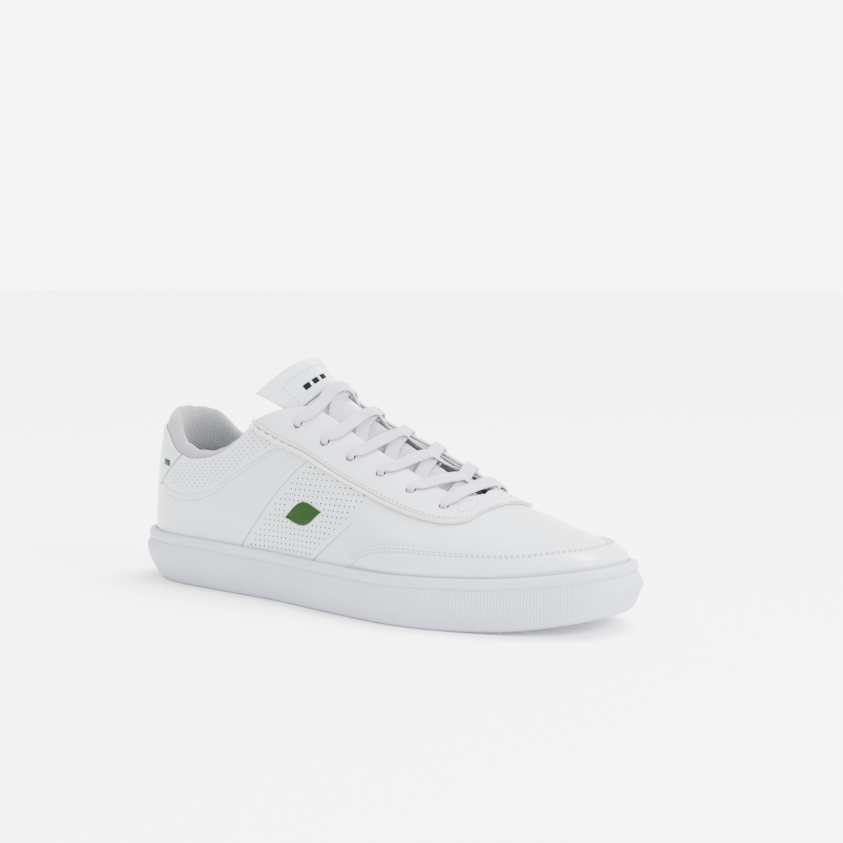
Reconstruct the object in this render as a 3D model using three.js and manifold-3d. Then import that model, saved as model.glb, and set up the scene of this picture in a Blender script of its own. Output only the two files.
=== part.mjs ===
// Court shoe, right foot: a low lace-up leather sneaker on a rubber cupsole.
// Millimetres, +Z up. +X runs from heel to toe, -Y is the outer (lateral) side of the foot.
// The origin is the middle of the shoe's footprint, on the ground.
import * as THREE from 'three';
import { mergeVertices } from 'three/addons/utils/BufferGeometryUtils.js';
import Module from 'manifold-3d';

// ---- driving dimensions -------------------------------------------------------------------
const HALF_LENGTH = 150;             // half of the outsole's length
const LIP = 3.2;                     // thickness of the cupsole's wall at its rim
const TUCK = 3;                      // how far the upper runs down inside the rim
const GAP = 0.4;                     // clearance between pieces that touch
const LEATHER = 1.2;                 // base leather
const OVERLAY = 1.3;                 // leather laid over the base
const STIFFENER = 1.1;               // toe puff and heel counter
const LINING = 0.7;
const OUTSOLE_FLOOR = 4.5;           // rubber under the foam
const BOARD = 1.5;                   // insole board
const FOOTBED = 4;
const FOOTBED_CLEAR = 3.2;           // room round the footbed, so that it can be lifted out
const FOOTBED_BEVEL = 0.7;
const EYELET_RADIUS = 2.6;
const LACE = { width: 7, threaded: 3.2, thickness: 1.2 };
const CENTRE_Y = 2.27;               // brings the footprint's middle to the origin

// ---- curves -------------------------------------------------------------------------------
// A smooth curve through points, flat beyond its ends.
function curve(points) {
  const x = points.map((p) => p[0]);
  const y = points.map((p) => p[1]);
  const last = x.length - 1;
  const rise = [];
  for (let i = 0; i < last; i += 1) rise.push((y[i + 1] - y[i]) / (x[i + 1] - x[i]));
  const slope = x.map((_, i) => {
    if (i === 0) return rise[0];
    if (i === last) return rise[last - 1];
    const before = x[i] - x[i - 1];
    const after = x[i + 1] - x[i];
    return (rise[i] * before + rise[i - 1] * after) / (before + after);
  });
  return (value) => {
    const v = Math.min(Math.max(value, x[0]), x[last]);
    let i = 0;
    while (i < last - 1 && v > x[i + 1]) i += 1;
    const h = x[i + 1] - x[i];
    const s = (v - x[i]) / h;
    const a = (2 * s ** 3 - 3 * s ** 2 + 1) * y[i] + (s ** 3 - 2 * s ** 2 + s) * h * slope[i];
    const b = (-2 * s ** 3 + 3 * s ** 2) * y[i + 1] + (s ** 3 - s ** 2) * h * slope[i + 1];
    return a + b;
  };
}

const clamp = (v, low, high) => Math.min(Math.max(v, low), high);
const mix = (a, b, s) => a + (b - a) * s;
// Stations are spread around the outline by angle, so that the round heel and toe get their share.
const angleOf = (x) => Math.asin(clamp(x / HALF_LENGTH, -1, 1)) * 2 / Math.PI;
const stationOf = (angle) => HALF_LENGTH * Math.sin(angle * Math.PI / 2);
const widthCurve = (points) => curve(points.map(([x, w]) => [angleOf(x), w]));

// Half widths of the sole's widest outline, from heel to toe.
const lateralWidth = widthCurve([[-150, 0], [-145, 18], [-120, 35.5], [-80, 40], [-35, 42.5],
  [10, 50.5], [50, 56], [90, 50.5], [125, 38], [145, 21.5], [150, 0]]);
const medialWidth = widthCurve([[-150, 0], [-145, 18], [-120, 36], [-80, 37], [-35, 31.5],
  [10, 33.5], [50, 44], [90, 50.5], [125, 35], [144, 18.5], [150, 0]]);
const outlineCentre = curve([[-150, 0], [40, 0], [100, 1], [150, 1]]);
const rimInset = curve([[-150, 2.5], [-100, 1.5], [0, 1], [90, 1.5], [150, 4]]);
const bottomInset = curve([[-150, 7], [-100, 5.5], [0, 2], [90, 2.5], [150, 4]]);
const bulgeHeight = curve([[-150, 18], [0, 12], [150, 16]]);
const rimHeight = curve([[-150, 27.5], [-90, 27], [-20, 25], [60, 25], [110, 27.5], [150, 33]]);
const springCurve = curve([[-150, 1.5], [-125, 0.2], [-115, 0], [-100, 0], [50, 0], [65, 0],
  [80, 0.3], [110, 2.5], [150, 10]]);
const toeSpring = (x) => Math.max(0, springCurve(x));

// The upper's crown line, and how boxy its sections are.
const ridgeHeight = curve([[-150, 150], [-90, 132], [-60, 118], [-30, 103.6], [0, 86], [23, 75],
  [41, 66.5], [60, 59], [80, 52.5], [100, 46.5], [125, 42], [150, 39]]);
const ridgeCentre = curve([[-150, 0], [-40, 1], [60, 3], [150, 4]]);
const boxiness = curve([[-150, 2], [60, 2.1], [100, 2.4], [150, 2.9]]);
const RIDGE_ENDS = [-105, 92];
const RIDGE_SOFTNESS = 11;
// The inner (medial) facing stands higher than the outer one.
const facingLift = curve([[-150, 0], [-80, 3], [-45, 6.5], [0, 7.5], [35, 7.5], [55, 5], [68, 1], [80, 0]]);
const FACING_LIFT = { start: 0.35, end: 0.8 };   // the climb over which it sets in

const LATERAL = -1;
const MEDIAL = 1;

function outline(angle, side) {
  const x = stationOf(angle);
  const width = side === LATERAL ? lateralWidth(angle) : medialWidth(angle);
  return [x, outlineCentre(x) + side * width];
}

function outlineNormal(angle, side) {
  if (Math.abs(angle) > 1 - 1e-6) return [-Math.sign(angle), 0];
  const e = 1e-3;
  const a = outline(clamp(angle - e, -1, 1), side);
  const b = outline(clamp(angle + e, -1, 1), side);
  const n = [(b[1] - a[1]) * side, -(b[0] - a[0]) * side];
  const length = Math.hypot(n[0], n[1]);
  return [n[0] / length, n[1] / length];
}

function insetOutline(angle, side, inset) {
  const p = outline(angle, side);
  const n = outlineNormal(angle, side);
  return [p[0] + n[0] * inset, p[1] + n[1] * inset];
}

function softStation(x) {
  const ramp = (v) => 0.5 * (v + Math.sqrt(v * v + RIDGE_SOFTNESS * RIDGE_SOFTNESS));
  return RIDGE_ENDS[0] + ramp(x - RIDGE_ENDS[0]) - ramp(x - RIDGE_ENDS[1]);
}

function smoothStep(low, high, v) {
  const s = clamp((v - low) / (high - low), 0, 1);
  return s * s * (3 - 2 * s);
}

// The upper's outer face: x is the station, t climbs from the rim (0) to the crown line (1).
function upperPoint(x, t, side) {
  const foot = insetOutline(angleOf(x), side, LIP + rimInset(x));
  const crownX = softStation(x);
  const crown = [crownX, ridgeCentre(crownX)];
  const power = 2 / boxiness(x);
  const out = Math.max(Math.cos(t * Math.PI / 2), 0) ** power;
  const up = Math.sin(t * Math.PI / 2) ** power;
  const px = crown[0] + (foot[0] - crown[0]) * out;
  const py = crown[1] + (foot[1] - crown[1]) * out;
  const base = rimHeight(foot[0]) - TUCK;
  let pz = base + (ridgeHeight(px) - base) * up;
  if (side === MEDIAL) pz += facingLift(x) * smoothStep(FACING_LIFT.start, FACING_LIFT.end, t);
  return new THREE.Vector3(px, py, pz);
}

function upperNormal(x, t, side) {
  const e = 0.004;
  const tt = clamp(t, 0.02, 0.985);
  const angle = angleOf(x);
  // Past the heel or toe tip the outline carries on along the other side.
  const at = (a) => {
    if (a > 1) return upperPoint(stationOf(2 - a), tt, -side);
    if (a < -1) return upperPoint(stationOf(-2 - a), tt, -side);
    return upperPoint(stationOf(a), tt, side);
  };
  const along = at(angle + e).sub(at(angle - e));
  const climb = upperPoint(x, Math.min(tt + e, 1), side).sub(upperPoint(x, tt - e, side));
  return along.cross(climb).multiplyScalar(-side).normalize();
}

const onUpper = (x, t, side, depth) => {
  const point = upperPoint(x, t, side);
  return point.addScaledVector(upperNormal(x, t, side), depth);
};

// ---- mesh helpers -------------------------------------------------------------------------
function meshFrom(positions, triangles) {
  const geometry = new THREE.BufferGeometry();
  const flat = positions.flatMap((p) => [p.x, p.y, p.z]);
  geometry.setAttribute('position', new THREE.Float32BufferAttribute(flat, 3));
  geometry.setIndex(triangles.flat());
  return geometry;
}

// Joins points nearer than the tolerance, and drops the triangles that collapse.
function weld(points, triangles, tolerance) {
  const cell = new Map();
  const kept = [];
  const target = points.map((p) => {
    const k = [p.x, p.y, p.z].map((v) => Math.floor(v / tolerance));
    for (let i = -1; i <= 1; i += 1) {
      for (let j = -1; j <= 1; j += 1) {
        for (let m = -1; m <= 1; m += 1) {
          const near = cell.get(`${k[0] + i},${k[1] + j},${k[2] + m}`);
          if (near !== undefined && kept[near].distanceTo(p) < tolerance) return near;
        }
      }
    }
    cell.set(k.join(), kept.length);
    kept.push(p);
    return kept.length - 1;
  });
  const joined = triangles.map((f) => f.map((i) => target[i]));
  return { target, kept, triangles: joined.filter(([a, b, c]) => a !== b && b !== c && a !== c) };
}

// A grid of rows of points: place(u, v, depth) gives each point, for u and v from 0 to 1.
// The sheet runs between two depths, with walls along every open edge.
function sheet(place, across, up, inner, outer, weldBy = 0.5) {
  const middle = (inner + outer) / 2;
  const cells = [];
  const triangles = [];
  for (let i = 0; i <= across; i += 1) {
    for (let j = 0; j <= up; j += 1) cells.push([i / across, j / up]);
  }
  const id = (i, j) => i * (up + 1) + j;
  for (let i = 0; i < across; i += 1) {
    for (let j = 0; j < up; j += 1) {
      triangles.push([id(i, j), id(i + 1, j), id(i + 1, j + 1)]);
      triangles.push([id(i, j), id(i + 1, j + 1), id(i, j + 1)]);
    }
  }
  const welded = weld(cells.map(([u, v]) => place(u, v, middle)), triangles, weldBy);
  const firstOf = new Map();
  welded.target.forEach((to, from) => {
    if (!firstOf.has(to)) firstOf.set(to, from);
  });
  const count = welded.kept.length;
  const layer = (depth) => welded.kept.map((_, i) => place(...cells[firstOf.get(i)], depth));
  const points = [...layer(outer), ...layer(inner)];
  const faces = [];
  const open = new Map();
  welded.triangles.forEach(([a, b, c]) => {
    faces.push([a, b, c], [a + count, c + count, b + count]);
    [[a, b], [b, c], [c, a]].forEach(([p, q]) => {
      if (!open.delete(`${q},${p}`)) open.set(`${p},${q}`, [p, q]);
    });
  });
  open.forEach(([p, q]) => faces.push([p, p + count, q + count], [p, q + count, q]));
  return outward(meshFrom(points, faces));
}

// Turns the faces over if they point inward.
function outward(geometry) {
  const p = geometry.attributes.position;
  const index = geometry.index.array;
  const corner = (i) => new THREE.Vector3().fromBufferAttribute(p, index[i]);
  let volume = 0;
  for (let i = 0; i < index.length; i += 3) volume += corner(i).dot(corner(i + 1).cross(corner(i + 2)));
  if (volume < 0) {
    for (let i = 0; i < index.length; i += 3) [index[i], index[i + 1]] = [index[i + 1], index[i]];
  }
  return geometry;
}

// A point at a fraction of a list of points' length. Stations count by angle.
function polyline(points) {
  const flat = points.map(([x, t]) => [angleOf(x), t]);
  const lengths = [0];
  for (let i = 1; i < flat.length; i += 1) {
    const step = Math.hypot((flat[i][0] - flat[i - 1][0]) * 1.6, flat[i][1] - flat[i - 1][1]);
    lengths.push(lengths[i - 1] + step);
  }
  const total = lengths[lengths.length - 1];
  const a = curve(lengths.map((l, i) => [l / total, flat[i][0]]));
  const t = curve(lengths.map((l, i) => [l / total, flat[i][1]]));
  return (s) => [a(s), t(s)];
}

// A patch between two edges, each a polyline of [station, climb].
const ruled = (low, high, side) => {
  const a = polyline(low);
  const b = polyline(high);
  return (u, v, depth) => {
    const p = a(u);
    const q = b(u);
    return onUpper(stationOf(mix(p[0], q[0], v)), mix(p[1], q[1], v), side, depth);
  };
};

// A patch that runs around the heel or toe tip, from the lateral edge to the medial one.
const mirrored = (half) => (u, v, depth) => {
  const side = u < 0.5 ? LATERAL : MEDIAL;
  const s = 1 - Math.abs(2 * u - 1);
  return half(s, v, side, depth);
};

// ---- seam lines on the upper, as [station, climb] -----------------------------------------
const sidePanelRear = [[-62, 0], [-46.5, 0.173], [-30.8, 0.36], [-21.9, 0.474], [-17, 0.55]];
const sidePanelFront = [[-12.5, 0], [12.2, 0.264], [26, 0.502], [30, 0.56]];
const collarLow = [[-127.7, 0.16], [-115.6, 0.147], [-103.5, 0.147], [-91.7, 0.165],
  [-80.8, 0.201], [-70.6, 0.259], [-58.2, 0.337], [-46.7, 0.42], [-34, 0.515]];
const topline = [[-108.3, 0.266], [-105.6, 0.263], [-93.6, 0.276], [-83, 0.308], [-73.2, 0.364],
  [-67.5, 0.416], [-61.6, 0.491], [-54, 0.55]];
const eyestayLow = [[-61.8, 0.496], [-57.5, 0.492], [-38.6, 0.486], [-24.9, 0.496],
  [-7.1, 0.499], [10.5, 0.499], [27.6, 0.497], [43.9, 0.504], [56, 0.515], [66.8, 0.544],
  [75.7, 0.634], [77.5, 0.76], [78.4, 1]];
const eyestayHigh = [[-31.5, 0.751], [-23.5, 0.769], [-11.1, 0.785], [12.7, 0.79], [38.7, 0.795],
  [54, 0.8], [63, 0.86], [66.5, 1]];
const mudguardHigh = [[17, 0.085], [22.3, 0.112], [29.7, 0.173], [37.7, 0.212], [49.9, 0.244],
  [72, 0.27], [92.8, 0.301], [113.6, 0.351], [135.3, 0.447], [150, 0.517]];
const eyelets = {
  [LATERAL]: [[-33.7, 0.606], [-15.5, 0.612], [1.7, 0.629], [20.9, 0.643], [40, 0.652], [60.5, 0.655]],
  [MEDIAL]: [[-28, 0.62], [-10, 0.625], [8, 0.635], [26, 0.645], [43.5, 0.655], [61.5, 0.66]],
};
const heelTopline = curve([[-150, 0.33], [-138, 0.325], [-129.7, 0.313], [-119.9, 0.281], [-112.4, 0.267],
  [-108.3, 0.266]]);

const shift = (line, dx, dt) => line.map(([x, t]) => [x + dx, t + dt]);
const SEAM = 0.02;                   // climb left open at a seam between base pieces
const SEAM_SIDE = 0.9;               // and how far each piece stands back from an upright seam

// ---- materials ----------------------------------------------------------------------------
const leatherWhite = () => new THREE.MeshStandardMaterial({ color: 0xe3e7e9, roughness: 0.5, metalness: 0 });
const rubberWhite = () => new THREE.MeshStandardMaterial({ color: 0xe6e8f0, roughness: 0.6, metalness: 0 });
const foamWhite = () => new THREE.MeshStandardMaterial({ color: 0xeeeee8, roughness: 0.95, metalness: 0 });
const textileWhite = () => new THREE.MeshStandardMaterial({ color: 0xdcdde4, roughness: 0.95, metalness: 0 });
const boardGrey = () => new THREE.MeshStandardMaterial({ color: 0xc9c4b8, roughness: 0.9, metalness: 0 });
const markGreen = () => new THREE.MeshStandardMaterial({ color: 0x2f6b4a, roughness: 0.6, metalness: 0 });
const printBlack = () => new THREE.MeshStandardMaterial({ color: 0x1b1d20, roughness: 0.5, metalness: 0 });
const clearPlastic = () => new THREE.MeshStandardMaterial({ color: 0xe9eaef, roughness: 0.25, metalness: 0 });

const shoe = new THREE.Group();
shoe.position.set(0, CENTRE_Y, 0);
function add(name, geometry, material) {
  const mesh = new THREE.Mesh(geometry, material);
  mesh.name = name;
  shoe.add(mesh);
}

// ---- sole unit ----------------------------------------------------------------------------
const AROUND = 48;
function soleRing(inset, height) {
  const ring = [];
  for (let i = 0; i < AROUND; i += 1) {
    const turn = i / AROUND * 4;
    const side = turn < 2 ? LATERAL : MEDIAL;
    const angle = turn < 2 ? turn - 1 : 3 - turn;
    const x = stationOf(angle);
    const p = insetOutline(angle, side, inset(x));
    ring.push(new THREE.Vector3(p[0], p[1], height(x, p[0])));
  }
  return ring;
}

// Stacks closed rings into one solid, closing the first and last with a flat fan.
function ringSolid(rings) {
  const points = rings.flat();
  const faces = [];
  for (let r = 0; r < rings.length - 1; r += 1) {
    for (let i = 0; i < AROUND; i += 1) {
      const j = (i + 1) % AROUND;
      const [a, b, c, d] = [r * AROUND + i, r * AROUND + j, (r + 1) * AROUND + j, (r + 1) * AROUND + i];
      faces.push([a, b, c], [a, c, d]);
    }
  }
  // The ends are strips between matching lateral and medial points.
  [0, rings.length - 1].forEach((r) => {
    const at = (i) => r * AROUND + (i % AROUND);
    const flip = r === 0;
    for (let i = 0; i < AROUND / 2; i += 1) {
      const [a, b] = [at(i), at(i + 1)];
      const [c, d] = [at(AROUND - i - 1), at(AROUND - i)];
      const pair = [[a, b, c], [a, c, d]];
      pair.filter((f) => new Set(f).size === 3).forEach((f) => faces.push(flip ? [f[0], f[2], f[1]] : f));
    }
  });
  return outward(meshFrom(points, faces));
}

const soleRim = (drop) => (x, px) => rimHeight(px) - drop;
const soleFloor = (rise) => (x, px) => toeSpring(px) + rise;
const innerWall = (extra) => (x) => LIP + rimInset(x) + extra;
const BOARD_TOP = TUCK + GAP;
const BULGE_CLEAR = 12;              // least height of the widest ring above the sprung floor
const RIM_BEAD = 4.5;                // height of the bead around the rim
const BEAD_GROOVE = 0.8;
const BEAD_UNDERCUT = 0.6;
const WALL_GAP = 0.7;                // between the cup's wall and the upper
const outsoleRings = [
  soleRing((x) => bottomInset(x) + 2, soleFloor(0)),
  soleRing((x) => bottomInset(x), soleFloor(1.6)),
  soleRing((x) => bottomInset(x) * 0.35, (x, px) => toeSpring(px) + bulgeHeight(x) * 0.5),
  soleRing(() => 0, (x) => Math.max(bulgeHeight(x), toeSpring(x) + BULGE_CLEAR)),
  soleRing((x) => rimInset(x) * 0.55 + BEAD_GROOVE, soleRim(RIM_BEAD + BEAD_UNDERCUT)),
  soleRing((x) => rimInset(x) * 0.6, soleRim(RIM_BEAD)),
  soleRing((x) => rimInset(x) * 0.8, soleRim(0.8)),
  soleRing((x) => rimInset(x) + 0.8, soleRim(0)),
  soleRing(innerWall(-0.9 - GAP), soleRim(0)),
  soleRing(innerWall(-WALL_GAP), soleRim(0.6)),
  soleRing(innerWall(-WALL_GAP), soleFloor(OUTSOLE_FLOOR)),
];
add('outsole_cup', ringSolid(outsoleRings), rubberWhite());

const boardDrop = BOARD_TOP + BOARD;
add('midsole_foam', ringSolid([
  soleRing(innerWall(0.2), soleFloor(OUTSOLE_FLOOR + GAP)),
  soleRing(innerWall(0.2), soleRim(boardDrop + GAP)),
]), foamWhite());
add('insole_board', ringSolid([
  soleRing(innerWall(0.2), soleRim(boardDrop)),
  soleRing(innerWall(0.2), soleRim(BOARD_TOP)),
]), boardGrey());

// Depths below the outer face of the upper, outermost layer first.
const OVER = [GAP, GAP + OVERLAY];
const BASE = [-LEATHER, 0];
const STIFF = [-LEATHER - GAP - STIFFENER, -LEATHER - GAP];
const LINED = [STIFF[0] - GAP - LINING, STIFF[0] - GAP];

add('footbed', ringSolid([
  soleRing(innerWall(-LINED[0] + FOOTBED_CLEAR), soleRim(TUCK)),
  soleRing(innerWall(-LINED[0] + FOOTBED_CLEAR), soleRim(TUCK - FOOTBED + 1)),
  soleRing(innerWall(-LINED[0] + FOOTBED_CLEAR + FOOTBED_BEVEL), soleRim(TUCK - FOOTBED)),
]), textileWhite());

// ---- upper: base leather ------------------------------------------------------------------
const vampRear = polyline([[-10.5, 0], [14.2, 0.264], [28, 0.502], [46, 0.54], [66, 0.585],
  [71, 0.75], [73, 1]]);
const vamp = (u, v, depth) => {
  const side = v < 0.5 ? LATERAL : MEDIAL;
  const [rear, t] = vampRear(1 - Math.abs(2 * v - 1));
  return onUpper(stationOf(mix(rear, 1, u)), t, side, depth);
};
add('vamp', sheet(vamp, 20, 14, ...BASE, 0.8), leatherWhite());
[[LATERAL, 'lateral'], [MEDIAL, 'medial']].forEach(([side, word]) => {
  const panel = (u, v, depth) => {
    const a = polyline(shift(sidePanelRear, SEAM_SIDE, 0))(v);
    const b = polyline(shift(sidePanelFront, -SEAM_SIDE, 0))(v);
    return onUpper(stationOf(mix(a[0], b[0], u)), mix(a[1], b[1], u), side, depth);
  };
  add(`side_panel_${word}`, sheet(panel, 6, 7, ...BASE), leatherWhite());

  const quarterTop = polyline([[-140.5, 0.147], [-133, 0.147], ...shift(collarLow, 0, -SEAM), [-19.5, 0.53]]);
  const quarterLow = polyline([[-140.5, 0], [-62.8, 0]]);
  const quarterFront = polyline(shift(sidePanelRear, -SEAM_SIDE, 0));
  const quarter = (u, v, depth) => {
    const low = quarterLow(u);
    const top = quarterTop(u);
    const front = quarterFront(v);
    const corner = [mix(quarterLow(1)[0], quarterTop(1)[0], v), mix(quarterLow(1)[1], quarterTop(1)[1], v)];
    const angle = mix(low[0], top[0], v) + (front[0] - corner[0]) * u;
    const t = mix(low[1], top[1], v) + (front[1] - corner[1]) * u;
    return onUpper(stationOf(angle), t, side, depth);
  };
  add(`quarter_${word}`, sheet(quarter, 15, 4, ...BASE), leatherWhite());
  const collar = ruled(collarLow, topline, side);
  add(`collar_panel_${word}`, sheet(collar, 12, 3, ...BASE), leatherWhite());
});

// Heel tab above, backstay below: both run around the heel.
const heelTabFront = curve([[0, -130.5], [0.4, -121.5], [1, -110.5]]);
const HEEL_TAB_LOW = { front: 0.166, back: 0.154 };
const BACKSTAY = { front: -141.3, high: 0.146 };
const heelTab = mirrored((s, v, side, depth) => {
  const angle = mix(angleOf(heelTabFront(v)), -1, s);
  const top = heelTopline(stationOf(angle));
  const low = mix(HEEL_TAB_LOW.front, HEEL_TAB_LOW.back, s);
  return onUpper(stationOf(angle), mix(low, top, v), side, depth);
});
add('heel_tab', sheet(heelTab, 14, 3, ...BASE), leatherWhite());
const backstay = mirrored((s, v, side, depth) => {
  const angle = mix(angleOf(BACKSTAY.front), -1, s);
  return onUpper(stationOf(angle), mix(0, BACKSTAY.high, v), side, depth);
});
add('backstay', sheet(backstay, 8, 3, ...BASE), leatherWhite());

// ---- upper: overlays ----------------------------------------------------------------------
// The climb at which the overlays clear the cupsole's rim.
const rimClear = curve([[17, 0.07], [100, 0.08], [125, 0.115], [150, 0.15]]);
const mudguard = mirrored((s, v, side, depth) => {
  const [angle, high] = polyline(mudguardHigh)(s);
  return onUpper(stationOf(angle), mix(rimClear(stationOf(angle)), high, v), side, depth);
});
add('mudguard', sheet(mudguard, 32, 2, ...OVER), leatherWhite());

const wasm = await Module();
wasm.setup();
const solidOf = (geometry) => {
  const bare = geometry.clone();
  Object.keys(bare.attributes).filter((k) => k !== 'position').forEach((k) => bare.deleteAttribute(k));
  const merged = mergeVertices(bare, 1e-4);
  const mesh = new wasm.Mesh({
    numProp: 3,
    vertProperties: new Float32Array(merged.attributes.position.array),
    triVerts: new Uint32Array(merged.index.array),
  });
  return new wasm.Manifold(mesh);
};
const geometryOf = (solid) => {
  const mesh = solid.getMesh();
  const geometry = new THREE.BufferGeometry();
  geometry.setAttribute('position', new THREE.BufferAttribute(new Float32Array(mesh.vertProperties), 3));
  geometry.setIndex(new THREE.BufferAttribute(new Uint32Array(mesh.triVerts), 1));
  return geometry;
};

// Punches the eyelets of one or both rows through a piece.
function punch(geometry, sides) {
  let solid = solidOf(geometry);
  sides.forEach((side) => eyelets[side].forEach(([x, t]) => {
    const drill = new THREE.CylinderGeometry(EYELET_RADIUS, EYELET_RADIUS, 16, 8);
    const axis = new THREE.Vector3(0, 1, 0);
    const turn = new THREE.Quaternion().setFromUnitVectors(axis, upperNormal(x, t, side));
    drill.applyQuaternion(turn);
    const centre = upperPoint(x, t, side);
    drill.translate(centre.x, centre.y, centre.z);
    solid = solid.subtract(solidOf(drill));
  }));
  return geometryOf(solid);
}

const eyestayEdge = { low: polyline(eyestayLow), high: polyline(eyestayHigh) };
const eyestay = mirrored((s, v, side, depth) => {
  const a = eyestayEdge.low(s);
  const b = eyestayEdge.high(s);
  return onUpper(stationOf(mix(a[0], b[0], v)), mix(a[1], b[1], v), side, depth);
});
add('eyestay', punch(sheet(eyestay, 36, 3, ...OVER), [LATERAL, MEDIAL]), leatherWhite());

const facingLow = [[-50, 0.585], [-33, 0.575], [0, 0.585], [28, 0.585], [40, 0.587],
  [52, 0.597], [65, 0.625]];
const facingHigh = [[-34, 0.7], [-22, 0.745], [-10, 0.765], [10, 0.77], [38.7, 0.775],
  [52, 0.78], [68, 0.83]];
const PIPING = { climb: 0.026, gap: 0.012, reach: 0.78 };
[[LATERAL, 'lateral'], [MEDIAL, 'medial']].forEach(([side, word]) => {
  const piping = (u, v, depth) => {
    const [angle, t] = eyestayEdge.low(u * PIPING.reach);
    return onUpper(stationOf(angle), t - PIPING.gap - PIPING.climb * (1 - v), side, depth);
  };
  add(`eyestay_piping_${word}`, sheet(piping, 18, 1, GAP, GAP + OVERLAY + 0.4), leatherWhite());

  const facing = ruled(facingLow, facingHigh, side);
  add(`facing_lining_${word}`, punch(sheet(facing, 18, 2, ...BASE), [side]), textileWhite());
});

// ---- upper: stiffeners and linings --------------------------------------------------------
const PUFF = { from: 104, low: 0.02, high: 0.8 };
const COUNTER = { from: -96, low: 0.02, high: 0.128 };
const puffRow = mirrored((s, v, side, depth) => {
  const angle = mix(angleOf(PUFF.from), 1, s);
  return onUpper(stationOf(angle), mix(PUFF.low, PUFF.high, v), side, depth);
});
add('toe_puff', sheet(puffRow, 12, 5, ...STIFF), boardGrey());
const counter = mirrored((s, v, side, depth) => {
  const angle = mix(angleOf(COUNTER.from), -1, s);
  return onUpper(stationOf(angle), mix(COUNTER.low, COUNTER.high, v), side, depth);
});
add('heel_counter', sheet(counter, 14, 2, ...STIFF), boardGrey());

const liningRear = polyline([[-40, 0], [14, 0.5], [30, 0.56], [58, 0.6], [70, 0.78], [72, 1]]);
const vampLining = (u, v, depth) => {
  const side = v < 0.5 ? LATERAL : MEDIAL;
  const [rear, t] = liningRear(1 - Math.abs(2 * v - 1));
  return onUpper(stationOf(mix(rear, 1, u)), Math.max(t, 0.005), side, depth);
};
add('vamp_lining', sheet(vampLining, 12, 10, ...LINED, 0.8), textileWhite());
const QUARTER_LINING = { from: -42, low: 0.005, high: 0.125 };
const quarterLining = mirrored((s, v, side, depth) => {
  const angle = mix(angleOf(QUARTER_LINING.from), -1, s);
  return onUpper(stationOf(angle), mix(QUARTER_LINING.low, QUARTER_LINING.high, v), side, depth);
});
add('quarter_lining', sheet(quarterLining, 22, 2, ...LINED), textileWhite());

// The padded collar: a knit skin folded over foam, both swept along the topline.
// Each section point is [rise above the topline in mm, depth]; the skin is open where it is sewn.
const collarLine = mirrored((s, v, side) => {
  const line = s < 0.6
    ? polyline([...topline].reverse())(s / 0.6)
    : [mix(angleOf(-108.3), -1, (s - 0.6) / 0.4), 0];
  const t = s < 0.6 ? line[1] : heelTopline(stationOf(line[0]));
  return { angle: line[0], t, side };
});
const rollHeight = curve([[-150, 8.5], [-125, 7.5], [-95, 4], [-70, 3], [-54, 2.5]]);
const collarDrop = curve([[-150, 0.15], [-108, 0.105], [-85, 0.1], [-70, 0.1], [-54, 0.07]]);
const ROLL = { outer: -LEATHER - GAP, inner: -9, skin: 0.8, foot: -4.6 };
const ROLL_STEPS = 5;

// The half ellipse over the roll, inset from the skin's outer face, as [rise, depth] points.
function rollArc(rise, inset) {
  const middle = (ROLL.outer + ROLL.inner) / 2;
  const half = (ROLL.outer - ROLL.inner) / 2 - inset;
  const arc = [];
  for (let k = 0; k <= ROLL_STEPS; k += 1) {
    const turn = Math.PI * k / ROLL_STEPS;
    arc.push([(rise - inset) * Math.sin(turn), middle + half * Math.cos(turn)]);
  }
  return arc;
}

// The roll's face from the topline over and down to where it is sewn inside.
const rollFace = (rise, drop, inset) => [
  ...rollArc(rise, inset),
  [-drop * 0.5, ROLL.inner + inset + 0.6],
  [-drop, ROLL.foot + inset],
];

function skinLoop(rise, drop) {
  return [...rollFace(rise, drop, 0), ...rollFace(rise, drop, ROLL.skin).reverse()];
}

function foamLoop(rise, drop) {
  const inset = ROLL.skin + 0.7;
  const inner = rollFace(rise, drop, inset);
  const last = inner.length - 1;
  const back = inner.map((_, k) => [-0.6 - (drop - 0.6) * (k / last), ROLL.outer - 0.1]);
  return [...inner, ...back.reverse()];
}

// Rows of matching section points joined into one solid, with strips closing both ends.
function loft(rows) {
  const n = rows[0].length;
  const faces = [];
  for (let r = 0; r < rows.length - 1; r += 1) {
    for (let i = 0; i < n; i += 1) {
      const j = (i + 1) % n;
      faces.push([r * n + i, r * n + j, (r + 1) * n + j], [r * n + i, (r + 1) * n + j, (r + 1) * n + i]);
    }
  }
  [0, rows.length - 1].forEach((r) => {
    const at = (i) => r * n + i;
    for (let i = 0; i < n / 2 - 1; i += 1) {
      const pair = [[at(i), at(i + 1), at(n - 2 - i)], [at(i), at(n - 2 - i), at(n - 1 - i)]];
      pair.forEach((f) => faces.push(r === 0 ? [f[0], f[2], f[1]] : f));
    }
  });
  return outward(meshFrom(rows.flat(), faces));
}

function collarPiece(loop, stations) {
  const rows = [];
  for (let k = 0; k <= stations; k += 1) {
    const { angle, t, side } = collarLine(k / stations, 0);
    const x = stationOf(angle);
    const perClimb = upperPoint(x, t + 0.05, side).distanceTo(upperPoint(x, t, side)) / 0.05;
    const section = loop(rollHeight(x), collarDrop(x) * perClimb);
    rows.push(section.map(([up, depth]) => onUpper(x, t + up / perClimb, side, depth)));
  }
  return loft(rows);
}
add('collar_lining', collarPiece(skinLoop, 26), textileWhite());
add('collar_foam', collarPiece(foamLoop, 26), foamWhite());

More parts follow.
